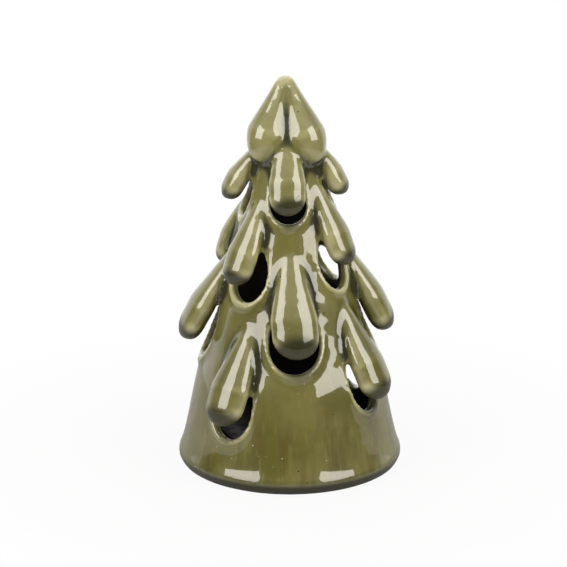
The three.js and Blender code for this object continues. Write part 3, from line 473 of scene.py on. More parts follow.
def lip(tier, row):
    """The raised lip round a tongue's root and its window."""
    half = row.window_width / 2 + LIP_MARGIN
    below = tier.window_height * WINDOW_LOW + LIP_MARGIN
    middle = row.sill + tier.window_height * WINDOW_LOW
    sill_steps, side_steps, root_share = 16, 12, 0.97
    apex = row.tip + tier.length * root_share
    points, radii = [], []
    for i in range(sill_steps + 1):
        angle = pi * i / sill_steps
        sag = LIP_SAG * sin(angle)
        height = middle - (below + SAG_SHIFT * sag) * sin(angle)
        points.append(on_wall(row.window_turn, half * cos(angle), height, LIP_STAND - SAG_SHIFT * sag))
        radii.append(LIP_RADIUS + sag)
    up = range(1, side_steps + 1)
    for side, steps in ((-1, up), (1, up[-2::-1])):
        for i in steps:
            share = i / side_steps
            here = row.window_turn + (row.turn + row.sway - row.window_turn) * share
            narrow = 1 - share ** 3
            height = middle + (apex - middle) * share
            stand = LIP_STAND - LIP_SINK * min(1, share / tier.lip_share)
            points.append(on_wall(here, side * half * narrow, height, stand))
            radii.append(LIP_RADIUS)
    return tube("lip", points, radii, closed=True)


def crown_drops(radius):
    """The four fat drops of the crown, modelled once and copied round the nose."""
    def path(share):
        reach, height = bezier(CROWN_LINE, share)
        return -reach, height

    stations = drop_stations(
        path, lambda share: 0, radius, radius, root=0.42, full_from=0.68, swell=1.4, cap=0.31)
    first = ring_loft("crown_drop", stations, 32)
    drops = []
    for turn, size, lower in CROWN_DROPS:
        select_only(first)
        bpy.ops.object.duplicate()
        drop = bpy.context.object
        drop.rotation_euler.z = radians(turn)
        drop.scale = (size, size, 1)
        drop.location.z = -lower * MM
        drops.append(settle(drop))
    bpy.data.objects.remove(first)
    return drops


def window_cutter(tier, row, wall):
    """The egg-shaped bar that cuts the window behind a tongue, over some walls to each side of the surface."""
    walls = 2.5
    below = tier.window_height * WINDOW_LOW
    above = tier.window_height - below
    reach = walls * wall * MM
    deselect_all()
    bpy.ops.mesh.primitive_circle_add(vertices=48, radius=MM, fill_type="NGON", rotation=(pi / 2, 0, 0))
    piece = settle(bpy.context.object)
    for vertex in piece.data.vertices:
        vertex.co.x *= row.window_width / 2
        vertex.co.z *= above if vertex.co.z > 0 else below
        vertex.co.y = -reach
    edit(piece)
    bpy.ops.mesh.extrude_region_move(TRANSFORM_OT_translate={"value": (0, 2 * reach, 0)})
    leave_edit()
    tidy_faces(piece)
    middle = row.sill + below
    place = Matrix.Translation((0, -wall_radius(middle) * MM, middle * MM))
    lean = Matrix.Rotation(-wall_lean(middle), 4, "X")
    piece.data.transform(Matrix.Rotation(radians(row.window_turn), 4, "Z") @ (place @ lean))
    return piece


def glazed_body(sizes):
    """The tree's shell: foot ring, floor with its hole, wall and nose, closed inside and out."""
    wall = sizes.wall / MM
    foot = sizes.foot_radius / MM
    top = sizes.height / MM
    flange_low, floor_top = 4.0, 9.0
    hole, recess = 32.4, 36.8
    corner, inside_top = 2, 150
    ceiling, dome_radius, dome_drop = 158, 5, 1.5
    inside = [(wall_radius(z) - wall, z) for z in np.linspace(floor_top + corner, inside_top, 24)]
    outline = [(0, ceiling), (dome_radius, ceiling - dome_drop)] + inside[::-1]
    outline += [(inside[0][0] - corner, floor_top), (hole, floor_top), (hole, flange_low)]
    outline += [(recess, flange_low), (recess, 0)]
    outline += [(foot + out, height) for out, height in FOOT_EDGE]
    outline += [tuple(point) for point in WALL_LINE[5::5]]
    outline += [*NOSE, (NOSE_TIP[0], top + NOSE_TIP[1]), (0, top)]
    return turned_profile("tree_body", outline, 128)


def vertex_rows(values, field):
    """A field of three numbers for each vertex, as rows."""
    rows = np.empty(len(values) * 3)
    values.foreach_get(field, rows)
    return rows.reshape(-1, 3)


def vertex_places(piece):
    return vertex_rows(piece.data.vertices, "co")


def blurring(piece):
    """A function that averages a value of each vertex with its neighbours' a number of times."""
    count = len(piece.data.vertices)
    ends = np.empty(len(piece.data.edges) * 2, int)
    piece.data.edges.foreach_get("vertices", ends)
    one, other = ends.reshape(-1, 2).T
    degree = np.bincount(one, minlength=count) + np.bincount(other, minlength=count)

    def blurred(values, times):
        for _ in range(times):
            spread = np.bincount(one, values[other], count) + np.bincount(other, values[one], count)
            values = 0.4 * values + 0.6 * spread / degree
        return values

    return blurred


def bulging(piece, blurred, grain):
    """How far each vertex stands out of its surroundings, above 0 on ridges and below it in hollows."""
    places = vertex_places(piece)
    around = np.stack([blurred(places[:, axis], 3) for axis in range(3)], 1)
    return ((places - around) * vertex_rows(piece.data.vertex_normals, "vector")).sum(1) / grain


def handle_clay(piece, strength):
    """Make the clay uneven, as by hand, and less so low down, where the wall is thrown."""
    texture = bpy.data.textures.new("clay_wobble", "CLOUDS")
    texture.noise_scale = 16 * MM
    calm, calm_below, rise = 0.25, 40, 25
    free = np.clip((vertex_places(piece)[:, 2] / MM - calm_below) / rise, 0, 1)
    weigh(piece, "handled", calm + (1 - calm) * free)
    apply_modifier(
        piece, "DISPLACE", texture=texture, strength=strength, texture_coords="LOCAL", vertex_group="handled")


def pool_in_creases(piece, sizes):
    """Let the glaze run together in the creases, which it fills and rounds."""
    blurred = blurring(piece)
    hollow = blurred(np.clip(-bulging(piece, blurred, sizes.clay_grain) - 0.01, 0, 1), 3)
    weigh(piece, "creases", np.clip(hollow * 25, 0, 1))
    apply_modifier(piece, "SMOOTH", factor=0.6, iterations=sizes.pooling, vertex_group="creases")


def measured_glaze(piece, sizes):
    """Work out, for each point of the glazed surface, how far it bulges or is hollow, and mark the inside.
    Thin glaze breaks pale on what bulges, and glaze pools dark in what is hollow, where painted shade darkens it
    too."""
    blurred = blurring(piece)
    bulge = bulging(piece, blurred, sizes.clay_grain)
    places = vertex_places(piece)
    heights = places[:, 2] / MM
    low, high = 3, 160
    inner = np.clip((depth_in_wall(places) - 0.45 * sizes.wall) / (0.3 * sizes.wall), 0, 1)
    inner = np.where((heights > low) & (heights < high), inner, 0)
    pooled = pooled_glaze(places)
    for name, values, times in (("ridge", bulge, 2), ("hollow", bulge, 12), ("inner", inner, 2),
                                ("pooled", pooled, 2)):
        layer = piece.data.attributes.new(name, "FLOAT", "POINT")
        layer.data.foreach_set("value", blurred(values, times).astype(np.float32))


def pooled_glaze(places):
    """How close each place is to the underside of a tongue's tip, where the glaze has run together."""
    pooled = np.zeros(len(places))
    for _, row in tongue_rows():
        turn = radians(row.turn)
        reach = wall_radius(row.tip) + row.lift
        end = np.array([reach * sin(turn), -reach * cos(turn), row.tip])
        distance = np.linalg.norm(places / MM - end - [0, 0, 1], axis=1)
        pooled = np.maximum(pooled, np.clip((0.66 * row.width - distance) / (0.28 * row.width), 0, 1))
    return pooled


def dress(piece, material):
    piece.data.materials.clear()
    piece.data.materials.append(material)


class LANTERN_OT_glazed_tree(Operator):
    """Throw, cut, dress and glaze the ceramic tree"""

    bl_idname = "lantern.glazed_tree"
    bl_label = "Glazed tree"

    def execute(self, context):
        sizes = context.scene.tree_sizes
        wall = sizes.wall / MM
        body = glazed_body(sizes)
        tongues, lips, cutters = [], [], []
        for tier, row in tongue_rows():
            tongues.append(tongue(tier, row, wall))
            lips.append(lip(tier, row))
            cutters.append(window_cutter(tier, row, wall))
        body = joined("tree_body", [body, *lips])
        apply_modifier(body, "REMESH", mode="VOXEL", voxel_size=sizes.clay_grain)
        apply_modifier(body, "SMOOTH", factor=0.5, iterations=4)
        windows = joined("windows", cutters)
        apply_modifier(body, "BOOLEAN", operation="DIFFERENCE", object=windows, solver="EXACT")
        bpy.data.objects.remove(windows)
        tree = joined("glazed_tree", [body, *tongues, *crown_drops(sizes.crown_radius / MM)])
        apply_modifier(tree, "REMESH", mode="VOXEL", voxel_size=sizes.clay_grain, use_smooth_shade=True)
        handle_clay(tree, sizes.wobble)
        apply_modifier(tree, "SMOOTH", factor=0.5, iterations=sizes.glaze_flow)
        pool_in_creases(tree, sizes)
        lean_over(tree, sizes)
        thin_out_inside(tree, sizes)
        measured_glaze(tree, sizes)
        dress(tree, glaze_material(context.scene.glaze_colours))
        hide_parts("ceramic_tree")
        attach(tree, "tree")
        return {"FINISHED"}


def weigh(piece, name, weights, levels=8):
    """Give a piece a vertex group with these weights, in a few levels."""
    group = piece.vertex_groups.new(name=name)
    steps = np.rint(weights * levels).astype(int)
    for step in range(levels + 1):
        group.add(np.flatnonzero(steps == step).tolist(), step / levels, "REPLACE")


def depth_in_wall(places):
    """How far places lie inside the wall's outer surface, in metres."""
    return wall_radius(places[:, 2] / MM) * MM - np.hypot(places[:, 0], places[:, 1])


def thin_out_inside(piece, sizes):
    """Use fewer faces for the dark inside, which is plain and hardly seen. Half weights keep its faces even,
    and what has no weight keeps all its faces."""
    places = vertex_places(piece)
    heights = places[:, 2] / MM
    low, high = 7, 165
    inside = (depth_in_wall(places) > 0.8 * sizes.wall) & (heights > low) & (heights < high)
    weigh(piece, "inside", 0.5 * inside)
    apply_modifier(piece, "DECIMATE", ratio=sizes.kept_faces, vertex_group="inside")


def lean_over(piece, sizes):
    """Let the tree drift sideways with height, more towards the tip."""
    for vertex in piece.data.vertices:
        vertex.co.x -= sizes.lean * (vertex.co.z / sizes.height) ** 2


def new_material(name):
    """A material with a Principled BSDF, that shader, and a recipe to mix its values with."""
    material = bpy.data.materials.new(name)
    material.use_nodes = True
    recipe = Recipe(material.node_tree)
    return material, recipe, recipe.nodes["Principled BSDF"]


class Recipe:
    """Short words for the nodes that the finishes are mixed from, on Object coordinates in a material."""

    def __init__(self, tree, coordinates="Object"):
        self.nodes = tree.nodes
        self.link = tree.links.new
        self.coords = self.node("TexCoord", {}, coordinates)
        self.across, self.along, self.height = self.node("SeparateXYZ", {0: self.coords}, 0).node.outputs

    def put(self, value, socket):
        """Link a node's output, or set a plain value."""
        if isinstance(value, bpy.types.NodeSocket):
            self.link(value, socket)
        elif socket.type == "RGBA":
            socket.default_value = (*value, 1)
        else:
            socket.default_value = value

    def feed(self, shader, **values):
        """Link nodes' outputs to a shader, and set what is the same all over on its own sockets."""
        for name, value in values.items():
            self.put(value, shader.inputs[name.replace("_", " ")])

    def node(self, kind, values, result, **settings):
        """A new node with these settings and values, and its output of that name or number."""
        node = self.nodes.new("ShaderNode" + kind)
        for key, value in settings.items():
            setattr(node, key, value)
        for socket, value in values.items():
            self.put(value, node.inputs[socket])
        return node.outputs[result]

    def attribute(self, name):
        return self.node("Attribute", {}, "Fac", attribute_name=name)

    def ramp(self, value, low, high, start=0.0, end=1.0):
        """Run smoothly from start to end where a value goes from low to high."""
        values = {"Value": value, "From Min": low, "From Max": high, "To Min": start, "To Max": end}
        return self.node("MapRange", values, "Result", interpolation_type="SMOOTHSTEP")

    def mixed(self, factor, first, second):
        """Mix two colours."""
        return self.node("Mix", {"Factor": factor, 6: first, 7: second}, 2, data_type="RGBA")

    def between(self, factor, first, second):
        """Mix two values."""
        return self.node("Mix", {"Factor": factor, 2: first, 3: second}, 0, data_type="FLOAT")

    def either(self, factor, first, second):
        """Mix two shaders."""
        return self.node("MixShader", {0: factor, 1: first, 2: second}, 0)

    def maths(self, operation, first, second=0.0):
        return self.node("Math", {0: first, 1: second}, 0, operation=operation)

    def times(self, first, second):
        return self.maths("MULTIPLY", first, second)

    def stretched(self, scale):
        return self.node("Mapping", {"Vector": self.coords, "Scale": scale}, "Vector")

    def noise(self, vector, scale, detail=3):
        return self.node("TexNoise", {"Vector": vector, "Scale": scale, "Detail": detail}, "Fac")

    def cells(self, scale, reach, odds):
        """Small round spots, from the middle of some of the cells of a Voronoi pattern."""
        distance = self.node("TexVoronoi", {"Vector": self.coords, "Scale": scale}, "Distance")
        chance = self.node("SeparateColor", {0: distance.node.outputs["Color"]}, 0)
        return self.times(self.ramp(distance, reach, reach / 3), self.maths("GREATER_THAN", chance, 1 - odds))

    def looked_at(self):
        """1 where the camera looks, also through glass."""
        camera = self.node("LightPath", {}, "Is Camera Ray")
        return self.maths("MAXIMUM", camera, camera.node.outputs["Is Transmission Ray"])

    def raised(self, height, shader, strength, distance):
        bump = {"Height": height, "Strength": strength, "Distance": distance}
        self.feed(shader, Normal=self.node("Bump", bump, "Normal"))


def glaze_material(colours):
    """Olive glaze, lighter higher up and where it is thin, streaked with brown low down, pale on ridges and
    dark where it pools, with painted shade in the creases and on the foot's edge, painted glints, specks,
    bubbles and a dark, dull inside."""
    material, recipe, shader = new_material("olive_glaze")
    attribute, ramp, mixed, maths = recipe.attribute, recipe.ramp, recipe.mixed, recipe.maths
    times, noise, cells, height = recipe.times, recipe.noise, recipe.cells, recipe.height
    plain = recipe.coords
    runs = recipe.stretched((1, 1, 0.07))
    cloudy = times(ramp(noise(plain, 38), 0.38, 0.66), 0.55)
    upper = times(ramp(height, 40 * MM, 150 * MM), 0.6)
    colour = mixed(maths("ADD", cloudy, upper), colours.olive, colours.light)
    streaks = times(ramp(noise(runs, 150, 5), 0.46, 0.66), ramp(height, 52 * MM, 22 * MM))
    colour = mixed(times(streaks, 0.55), colour, colours.brown)
    thin_runs = times(ramp(noise(runs, 420, 2), 0.55, 0.72), 0.35)
    colour = mixed(thin_runs, colour, colours.light)
    ridge, pooled, inner = attribute("ridge"), attribute("pooled"), attribute("inner")
    colour = mixed(times(ramp(ridge, 0.025, 0.12), 0.85), colour, colours.pale)
    # Darker where glaze pools at the tongues' tips, and painted shade in the creases and hollows.
    deep_glaze_and_shade = maths("MAXIMUM", ramp(attribute("hollow"), -0.001, -0.034), ramp(pooled, 0.1, 0.9))
    deep_glaze_and_shade = maths("MAXIMUM", deep_glaze_and_shade, ramp(ridge, -0.008, -0.055))
    colour = mixed(times(deep_glaze_and_shade, 0.92), colour, colours.deep_glaze_and_shade)
    # Partly painted shade: the foot's edge turns dark grey green, its bare colour darkened as it turns under
    # towards the floor.
    foot = ramp(height, 8 * MM, 3.6 * MM)
    colour = mixed(foot, colour, colours.foot)
    specks = cells(260, 0.16, 0.1)
    colour = mixed(specks, colour, colours.deep_glaze_and_shade)
    # Painted glints: tiny pale dots that stand for the highlights on bubbles in the glaze.
    painted_glints = cells(310, 0.1, 0.06)
    colour = mixed(painted_glints, colour, lighter(colours.pale, 0.4))
    colour = mixed(inner, colour, colours.inner)
    rough = maths("ADD", times(noise(plain, 120), 0.12), 0.26)
    rough = maths("ADD", rough, times(inner, 0.7))
    dull = maths("MAXIMUM", inner, times(foot, 0.6))
    dull = maths("MAXIMUM", dull, times(ramp(pooled, 0.2, 1.0), 0.6))
    recipe.feed(shader, Base_Color=colour, Roughness=rough, Coat_Weight=maths("SUBTRACT", 1.0, dull),
                Coat_Roughness=0.045, Coat_IOR=1.75, IOR=1.45, Specular_IOR_Level=0.3)
    ripple = times(noise(plain, 70, 2), 0.8)
    bubbles = times(cells(300, 0.3, 0.14), 2.2)
    recipe.raised(maths("ADD", ripple, bubbles), shader, 0.25, 0.5 * MM)
    return material


def play_group():
    """A shared effect: uneven tone, handling marks and fine grain of a moulded or pressed surface."""
    known = bpy.data.node_groups.get("surface_play")
    if known:
        return known
    group = bpy.data.node_groups.new("surface_play", "ShaderNodeTree")
    group.interface.new_socket("Vector", in_out="INPUT", socket_type="NodeSocketVector")
    scales = {"Tone": 60.0, "Marks": 160.0, "Grain": 900.0}
    for name, scale in scales.items():
        socket = group.interface.new_socket(name, in_out="INPUT", socket_type="NodeSocketFloat")
        socket.default_value = scale
        group.interface.new_socket(name, in_out="OUTPUT", socket_type="NodeSocketFloat")
    start = group.nodes.new("NodeGroupInput")
    end = group.nodes.new("NodeGroupOutput")
    for name in scales:
        texture = group.nodes.new("ShaderNodeTexNoise")
        group.links.new(start.outputs["Vector"], texture.inputs["Vector"])
        group.links.new(start.outputs[name], texture.inputs["Scale"])
        group.links.new(texture.outputs["Fac"], end.inputs[name])
    return group


def finish(name, colour, tint, roughness, grain=900.0, marks=160.0, stretch=(1, 1, 1), relief=0.1, **even):
    """A finish whose colour runs from one tone to another and whose gloss is uneven, over fine grain. It is
    kept under its name, and its recipe, shader and colour are given back, to build further on."""
    FINISHES[name], recipe, shader = new_material(name)
    values = {"Vector": recipe.stretched(stretch), "Grain": grain, "Marks": marks}
    play = recipe.node("Group", values, "Tone", node_tree=play_group()).node.outputs
    tone = recipe.mixed(recipe.ramp(play["Tone"], 0.35, 0.65), colour, tint)
    low, high = roughness
    worn = recipe.times(recipe.ramp(play["Marks"], 0.35, 0.7), high - low)
    recipe.feed(shader, Base_Color=tone, Roughness=recipe.maths("ADD", worn, low), **even)
    recipe.raised(play["Grain"], shader, relief, 0.2 * MM)
    return recipe, shader, tone


def lighter(colour, share):
    return tuple(value + (1 - value) * share for value in colour)


def darker(colour, share):
    return tuple(value * (1 - share) for value in colour)


def bare_metal(recipe, shader, mask, colour, metal):
    """Show metal in a finish of this colour where a mask is 1."""
    recipe.feed(shader, Base_Color=recipe.mixed(mask, colour, metal), Metallic=mask)


def cell_finish(colours):
    """A printed sleeve that leaves the rolled steel ends of the cell bare."""
    sleeve = colours.sleeve
    recipe, shader, tone = finish(
        "cell_sleeve", sleeve, lighter(sleeve, 0.02), (0.22, 0.38), marks=300)
    along = recipe.maths("ABSOLUTE", recipe.across)
    banded = recipe.mixed(recipe.ramp(along, 12.2 * MM, 12.4 * MM), tone, colours.band)
    bare_metal(recipe, shader, recipe.ramp(along, 20.2 * MM, 20.4 * MM), banded, colours.nickel)


def board_finish(colours):
    """Green solder mask with the copper tracks showing through it."""
    recipe, shader, tone = finish(
        "board", colours.board, darker(colours.board, 0.25), (0.25, 0.4), relief=0.05)
    waves = recipe.node("TexWave", {"Vector": recipe.coords, "Scale": 170, "Distortion": 3.5}, "Fac")
    recipe.feed(shader, Base_Color=recipe.mixed(recipe.ramp(waves, 0.72, 0.78), tone, colours.copper))


def resistor_finish(colours):
    """A black ceramic chip with tinned ends."""
    recipe, shader, tone = finish(
        "resistor_body", (0.02, 0.018, 0.017), (0.035, 0.03, 0.028), (0.45, 0.6))
    from_middle = recipe.maths("ABSOLUTE", recipe.maths("ADD", recipe.across, 5.4 * MM))
    bare_metal(recipe, shader, recipe.ramp(from_middle, 1.15 * MM, 1.2 * MM), tone, colours.tin)


def unit_finishes(colours):
    """Mix all finishes of the LED unit."""
    plastic, foam, nickel, steel = colours.plastic, colours.foam, colours.nickel, colours.steel
    red, epoxy, frost = colours.red, colours.epoxy, colours.frost
    finish("black_plastic", plastic, lighter(plastic, 0.012), (0.3, 0.5), grain=1400, relief=0.18,
           Specular_IOR_Level=0.06)
    finish("black_foam", foam, lighter(foam, 0.04), (0.85, 1.0), grain=1100, marks=500, relief=0.9)
    finish("contact_metal", nickel, darker(nickel, 0.2), (0.22, 0.4), stretch=(0.1, 1, 1), Metallic=1.0)
    finish("switch_metal", steel, darker(steel, 0.25), (0.25, 0.42), stretch=(0.08, 1, 1), Metallic=1.0)
    finish("screw_steel", steel, darker(steel, 0.35), (0.22, 0.45), marks=500, Metallic=1.0)
    finish("chip_black", (0.014, 0.014, 0.015), (0.025, 0.025, 0.027), (0.45, 0.65), grain=2500)
    finish("red_insulation", red, darker(red, 0.25), (0.3, 0.45), marks=400, relief=0.05)
    finish("black_insulation", (0.012, 0.012, 0.012), (0.022, 0.021, 0.02), (0.3, 0.45), marks=400, relief=0.05)
    finish("lamp_epoxy", epoxy, lighter(epoxy, 0.3), (0.03, 0.08), relief=0.01,
           Transmission_Weight=0.7, IOR=1.52)
    finish("frosted_cap", frost, darker(frost, 0.06), (0.42, 0.6), grain=1800, relief=0.15,
           Transmission_Weight=0.35, IOR=1.49)
    cell_finish(colours)
    board_finish(colours)
    resistor_finish(colours)


def slot_of(node):
    return next(part["material_slot"] for part in frame["record"]["subparts"] if part["node"] == node)


def body_of(node):
    bodies = frame["record"]["behaviour"]["bodies"]
    return next(body for body, members in bodies.items() if node in members)


def stands_for(piece, node):
    """Dress a finished piece, let it ride where the CAD node rides, and let it stand for that node."""
    if not FINISHES:
        unit_finishes(bpy.context.scene.unit_colours)
    dress(piece, FINISHES[slot_of(node)])
    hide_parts(node)
    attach(piece, body_of(node))


def softened(node, edge, segments=2, crease=35):
    """A merged copy of a CAD node with its sharp edges rounded, in millimetres, and its curves smooth."""
    source = bpy.data.objects[node]
    piece = bpy.data.objects.new(node + "_shaped", source.data.copy())
    bpy.context.scene.collection.objects.link(piece)
    edit(piece)
    bpy.ops.mesh.remove_doubles(threshold=0.004 * MM)
    bpy.ops.mesh.dissolve_limited(angle_limit=radians(0.5))
    leave_edit()
    apply_modifier(
        piece, "BEVEL", width=edge * MM, segments=segments, limit_method="ANGLE",
        angle_limit=radians(crease))
    smooth_by_angle(piece, crease)
    apply_modifier(piece, "WEIGHTED_NORMAL", keep_sharp=True)
    return piece


def soften_nodes(edges, **options):
    """Let a softened piece stand for each node, with the edge in millimetres that goes with it."""
    for node, edge in edges.items():
        stands_for(softened(node, edge, **options), node)


def turned(node, points, steps=96):
    """A round piece spun from (radius, height) points, with its edges as sharp as the points say."""
    piece = turned_profile(node + "_turned", points, steps)
    smooth_by_angle(piece, 35)
    return piece


def rounded_profile(corners, radius, steps=4):
    """A turned piece's outline with its corners rounded, all in millimetres."""
    outline = [corners[0]]
    for before, corner, after in zip(corners, corners[1:], corners[2:]):
        here = Vector(corner)
        back = Vector(before) - here
        on = Vector(after) - here
        cut = min(radius, 0.45 * back.length, 0.45 * on.length)
        start = here + back.normalized() * cut
        end = here + on.normalized() * cut
        for i in range(steps + 1):
            share = i / steps
            rest = 1 - share
            outline.append(tuple(rest ** 2 * start + 2 * share * rest * here + share ** 2 * end))
    return outline + [corners[-1]]


class LANTERN_OT_unit_shell(Operator):
    """Mould the LED unit's housing, base plate, battery door, switch knob and sealing ring"""

    bl_idname = "lantern.unit_shell"
    bl_label = "LED unit shell"

    def execute(self, context):
        soften_nodes({"unit_housing": 0.35, "unit_base": 0.25, "battery_door": 0.2, "switch_knob": 0.12,
                      "sealing_ring": 0.25})
        return {"FINISHED"}


class LANTERN_OT_light(Operator):
    """Turn the frosted cap and the LED under it"""

    bl_idname = "lantern.light"
    bl_label = "Light cap and lamp"

    def execute(self, context):
        low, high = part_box("light_cap")
        radius, foot, top = high.x / MM, low.z / MM, high.z / MM
        shell, rim = 1.0, 0.35
        quarter = [i / 12 * pi / 2 for i in range(13)]

        def dome(inset):
            reach, rise = radius - rim - inset, radius - inset
            return [(reach * cos(angle), top - radius + rise * sin(angle)) for angle in quarter]

        outline = [(radius, foot), (radius, foot + 1.2), (radius - rim, foot + 1.5), *dome(0)]
        outline += [*reversed(dome(shell)), (radius - rim - shell, foot), (radius, foot)]
        stands_for(turned("light_cap", outline), "light_cap")
        soften_nodes({"led_lamp": 0.12}, crease=40)
        return {"FINISHED"}


class LANTERN_OT_cells(Operator):
    """Turn the two AAA cells with their rolled rims and plus buttons"""

    bl_idname = "lantern.cells"
    bl_label = "Cells"

    def execute(self, context):
        for node, plus in (("aaa_cell_1", 1), ("aaa_cell_2", -1)):
            low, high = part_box(node)
            middle = (low + high) / 2
            radius = (high.z - low.z) / 2 / MM
            length = (high.x - low.x) / MM
            button = 1.2
            can = length - button
            corners = [(0, 0.25), (2.2, 0.25), (2.5, 0), (radius - 0.9, 0), (radius, 0.35), (radius, can - 0.4),
                       (radius - 0.8, can), (2.6, can - 0.25), (1.95, can - 0.2), (1.9, length), (0, length)]
            piece = turned(node, rounded_profile(corners, 0.3))
            lay = Matrix.Rotation(plus * pi / 2, 4, "Y")
            foot = Matrix.Translation((0, 0, -length / 2 * MM))
            piece.data.transform(Matrix.Translation(middle) @ lay @ foot)
            stands_for(piece, node)
        return {"FINISHED"}


def spring_points(node):
    """Middle line of a conical contact spring, wide at its plate and narrow at the cell."""
    low, high = (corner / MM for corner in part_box(node))
    middle = (low + high) / 2
    wire = 0.35
    wide = (high.y - low.y) / 2 - wire
    plate, tip = (low.x, high.x) if middle.x < 0 else (high.x, low.x)
    inward = 1 if tip > plate else -1
    turns, steps, taper = 3.5, 24, 0.45
    span = abs(tip - plate) - 2 * wire
    points = []
    for i in range(int(turns * steps) + 1):
        share = i / (turns * steps)
        angle = 2 * pi * turns * share
        reach = wide * (1 - taper * share)
        points.append((plate + inward * (wire + span * share), middle.y + reach * cos(angle),
                       middle.z + reach * sin(angle)))
    return points, wire


class LANTERN_OT_contacts(Operator):
    """Bend the contact plates and wind the springs"""

    bl_idname = "lantern.contacts"
    bl_label = "Contacts"

    def execute(self, context):
        soften_nodes({"contact_join": 0.1, "contact_plus": 0.1, "contact_minus": 0.1})
        for node in ("contact_spring_1", "contact_spring_2"):
            points, wire = spring_points(node)
            piece = tube(node + "_wound", points, [wire] * len(points), sides=2)
            smooth_by_angle(piece, 50)
            stands_for(piece, node)
        return {"FINISHED"}


class LANTERN_OT_electronics(Operator):
    """Dress the circuit board, its parts, the wires, the switch and the screws"""

    bl_idname = "lantern.electronics"
    bl_label = "Electronics and screws"

    def execute(self, context):
        soften_nodes({"circuit_board": 0.08, "flicker_chip": 0.12, "resistor": 0.08, "switch_can": 0.3,
                      "base_screw_1": 0.08, "base_screw_2": 0.08, "base_screw_3": 0.08})
        soften_nodes({"wire_plus": 0.05, "wire_minus": 0.05, "wire_switch": 0.05}, segments=1, crease=60)
        return {"FINISHED"}


class LANTERN_OT_stage(Operator):
    """Set the floor, the surround, the softboxes, the lamp below and the camera"""

    bl_idname = "lantern.stage"
    bl_label = "Stage"

    def execute(self, context):
        values = context.scene.stage_settings
        white_surround(context.scene, values)
        pale_floor(context.scene.tree_sizes.foot_radius)
        for name, turn, rise, share, size in SOFTBOXES:
            softbox(name, turn, rise, values.softbox_power * share, size)
        lamp_below(values.below_power)
        set_camera(context.scene, values)
        context.scene.view_settings.view_transform = "Standard"
        return {"FINISHED"}


def white_surround(scene, values):
    """White where it is looked at, and plain soft light on everything. A glossy surface mirrors white from
    behind the tree, and the unlit side of the room in front of it."""
    world = bpy.data.worlds.new("surround")
    scene.world = world
    world.use_nodes = True
    recipe = Recipe(world.node_tree, "Generated")
    behind = recipe.ramp(recipe.along, 0.1, 0.5, start=values.studio_dark)
    above = recipe.ramp(recipe.height, 0.15, 0.85, end=0.6)
    mirrors = recipe.node("LightPath", {}, "Is Glossy Ray")
    level = recipe.between(mirrors, values.surround, recipe.maths("MAXIMUM", behind, above))
    strength = recipe.between(recipe.looked_at(), level, 1.0)
    recipe.feed(recipe.nodes["Background"], Color=(1, 1, 1), Strength=strength)


def pale_floor(foot_radius):
    """A round white table top that glows where it is only background and keeps the shadow near the tree.
    It is left out under the foot, and isn't seen from below, so that the LED unit can be looked at."""
    under_foot, reach = 3.3, 320
    floor = turned_profile("floor", [(foot_radius / MM - under_foot, 0), (reach, 0)], 128)
    if floor.data.polygons[0].normal.z < 0:
        edit(floor)
        bpy.ops.mesh.flip_normals()
        leave_edit()
    material, recipe, shader = new_material("pale_floor")
    recipe.feed(shader, Base_Color=(0.5, 0.5, 0.5), Roughness=0.9, Specular_IOR_Level=0.1)
    away = recipe.node("VectorMath", {0: recipe.coords}, "Value", operation="LENGTH")
    glow = recipe.times(recipe.looked_at(), recipe.ramp(away, 45 * MM, 220 * MM, start=0.93))
    white = recipe.node("Emission", {}, "Emission")
    above = recipe.either(glow, shader.outputs["BSDF"], white)
    below = recipe.node("BsdfTransparent", {}, "BSDF")
    shown = recipe.either(recipe.node("NewGeometry", {}, "Backfacing"), above, below)
    recipe.feed(recipe.nodes["Material Output"], Surface=shown)
    floor.data.materials.append(material)


def new_light(kind, name, power, location, rotation):
    bpy.ops.object.light_add(type=kind, location=location, rotation=rotation)
    light = bpy.context.object
    light.name = name
    light.data.energy = power
    return light.data


def softbox(name, turn, rise, power, size):
    """A large softbox that faces the middle of the tree."""
    distance, width, height = 1.2, 0.83, 0.92
    aim = Vector((0, 0, 80 * MM))
    turn, rise = radians(turn), radians(rise)
    offset = Vector((sin(turn) * cos(rise), -cos(turn) * cos(rise), sin(rise)))
    facing = offset.to_track_quat("Z", "Y").to_euler()
    light = new_light("AREA", name, power, aim + distance * offset, facing)
    light.shape = "RECTANGLE"
    light.size = width * size
    light.size_y = height * size
    light.color = (1.0, 0.965, 0.9)


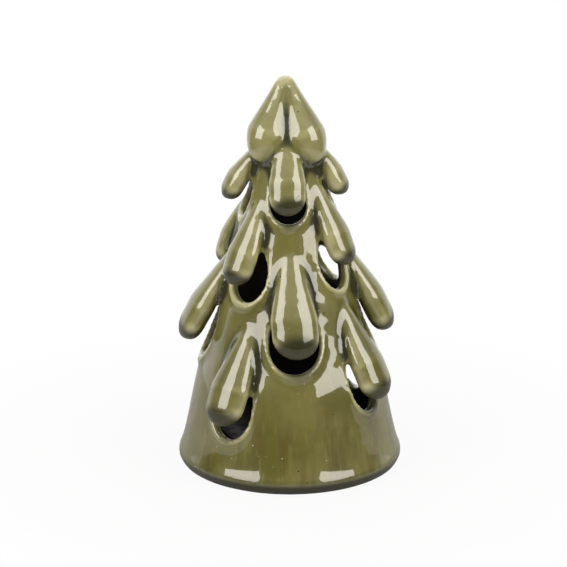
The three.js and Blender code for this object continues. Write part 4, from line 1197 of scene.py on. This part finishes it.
def lamp_below(power):
    """A narrow lamp under the floor. Its light stays within the foot, so no view from above shows it."""
    drop, reach = 0.6, 43 * MM
    light = new_light("SPOT", "lamp_below", power, (0, 0, -drop), (pi, 0, 0))
    light.spot_size = 2 * atan(reach / drop)
    light.spot_blend = 0.2
    light.shadow_soft_size = 10 * MM


def set_camera(scene, values):
    """The camera looks at the point that lies at the middle of the picture, a little in front of the axis."""
    across, up, ahead = -2.8 * MM, 77.9 * MM, 35 * MM
    lift = values.elevation
    away = Vector((0, -cos(lift), sin(lift)))
    aim = Vector((across, up * sin(lift), up * cos(lift))) + ahead * away
    data = bpy.data.cameras.new("camera")
    camera = bpy.data.objects.new("camera", data)
    scene.collection.objects.link(camera)
    camera.location = aim + values.distance * away
    camera.rotation_euler = away.to_track_quat("Z", "Y").to_euler()
    data.lens = data.sensor_width * values.distance / values.frame_width
    scene.camera = camera


class LANTERN_PT_pieces(Panel):
    """Lists the pieces of the lantern in the order in which they are built"""

    bl_label = "Tree Lantern"
    bl_space_type = "VIEW_3D"
    bl_region_type = "UI"
    bl_category = "Tree Lantern"

    def draw(self, context):
        for operator in OPERATORS:
            self.layout.operator(operator.bl_idname)


GROUPS = {"tree_sizes": TreeSizes, "glaze_colours": GlazeColours, "unit_colours": UnitColours,
          "stage_settings": StageSettings}
OPERATORS = (LANTERN_OT_glazed_tree, LANTERN_OT_unit_shell, LANTERN_OT_light, LANTERN_OT_cells,
             LANTERN_OT_contacts, LANTERN_OT_electronics, LANTERN_OT_stage)
CLASSES = (*GROUPS.values(), *OPERATORS, LANTERN_PT_pieces)


def register():
    for kind in CLASSES:
        bpy.utils.register_class(kind)
    for name, group in GROUPS.items():
        setattr(bpy.types.Scene, name, PointerProperty(type=group))


def unregister():
    for name in GROUPS:
        delattr(bpy.types.Scene, name)
    for kind in reversed(CLASSES):
        bpy.utils.unregister_class(kind)


def main():
    register()
    bpy.ops.lantern.glazed_tree()
    bpy.ops.lantern.unit_shell()
    bpy.ops.lantern.light()
    bpy.ops.lantern.cells()
    bpy.ops.lantern.contacts()
    bpy.ops.lantern.electronics()
    bpy.ops.lantern.stage()


if __name__ == "__main__":
    main()
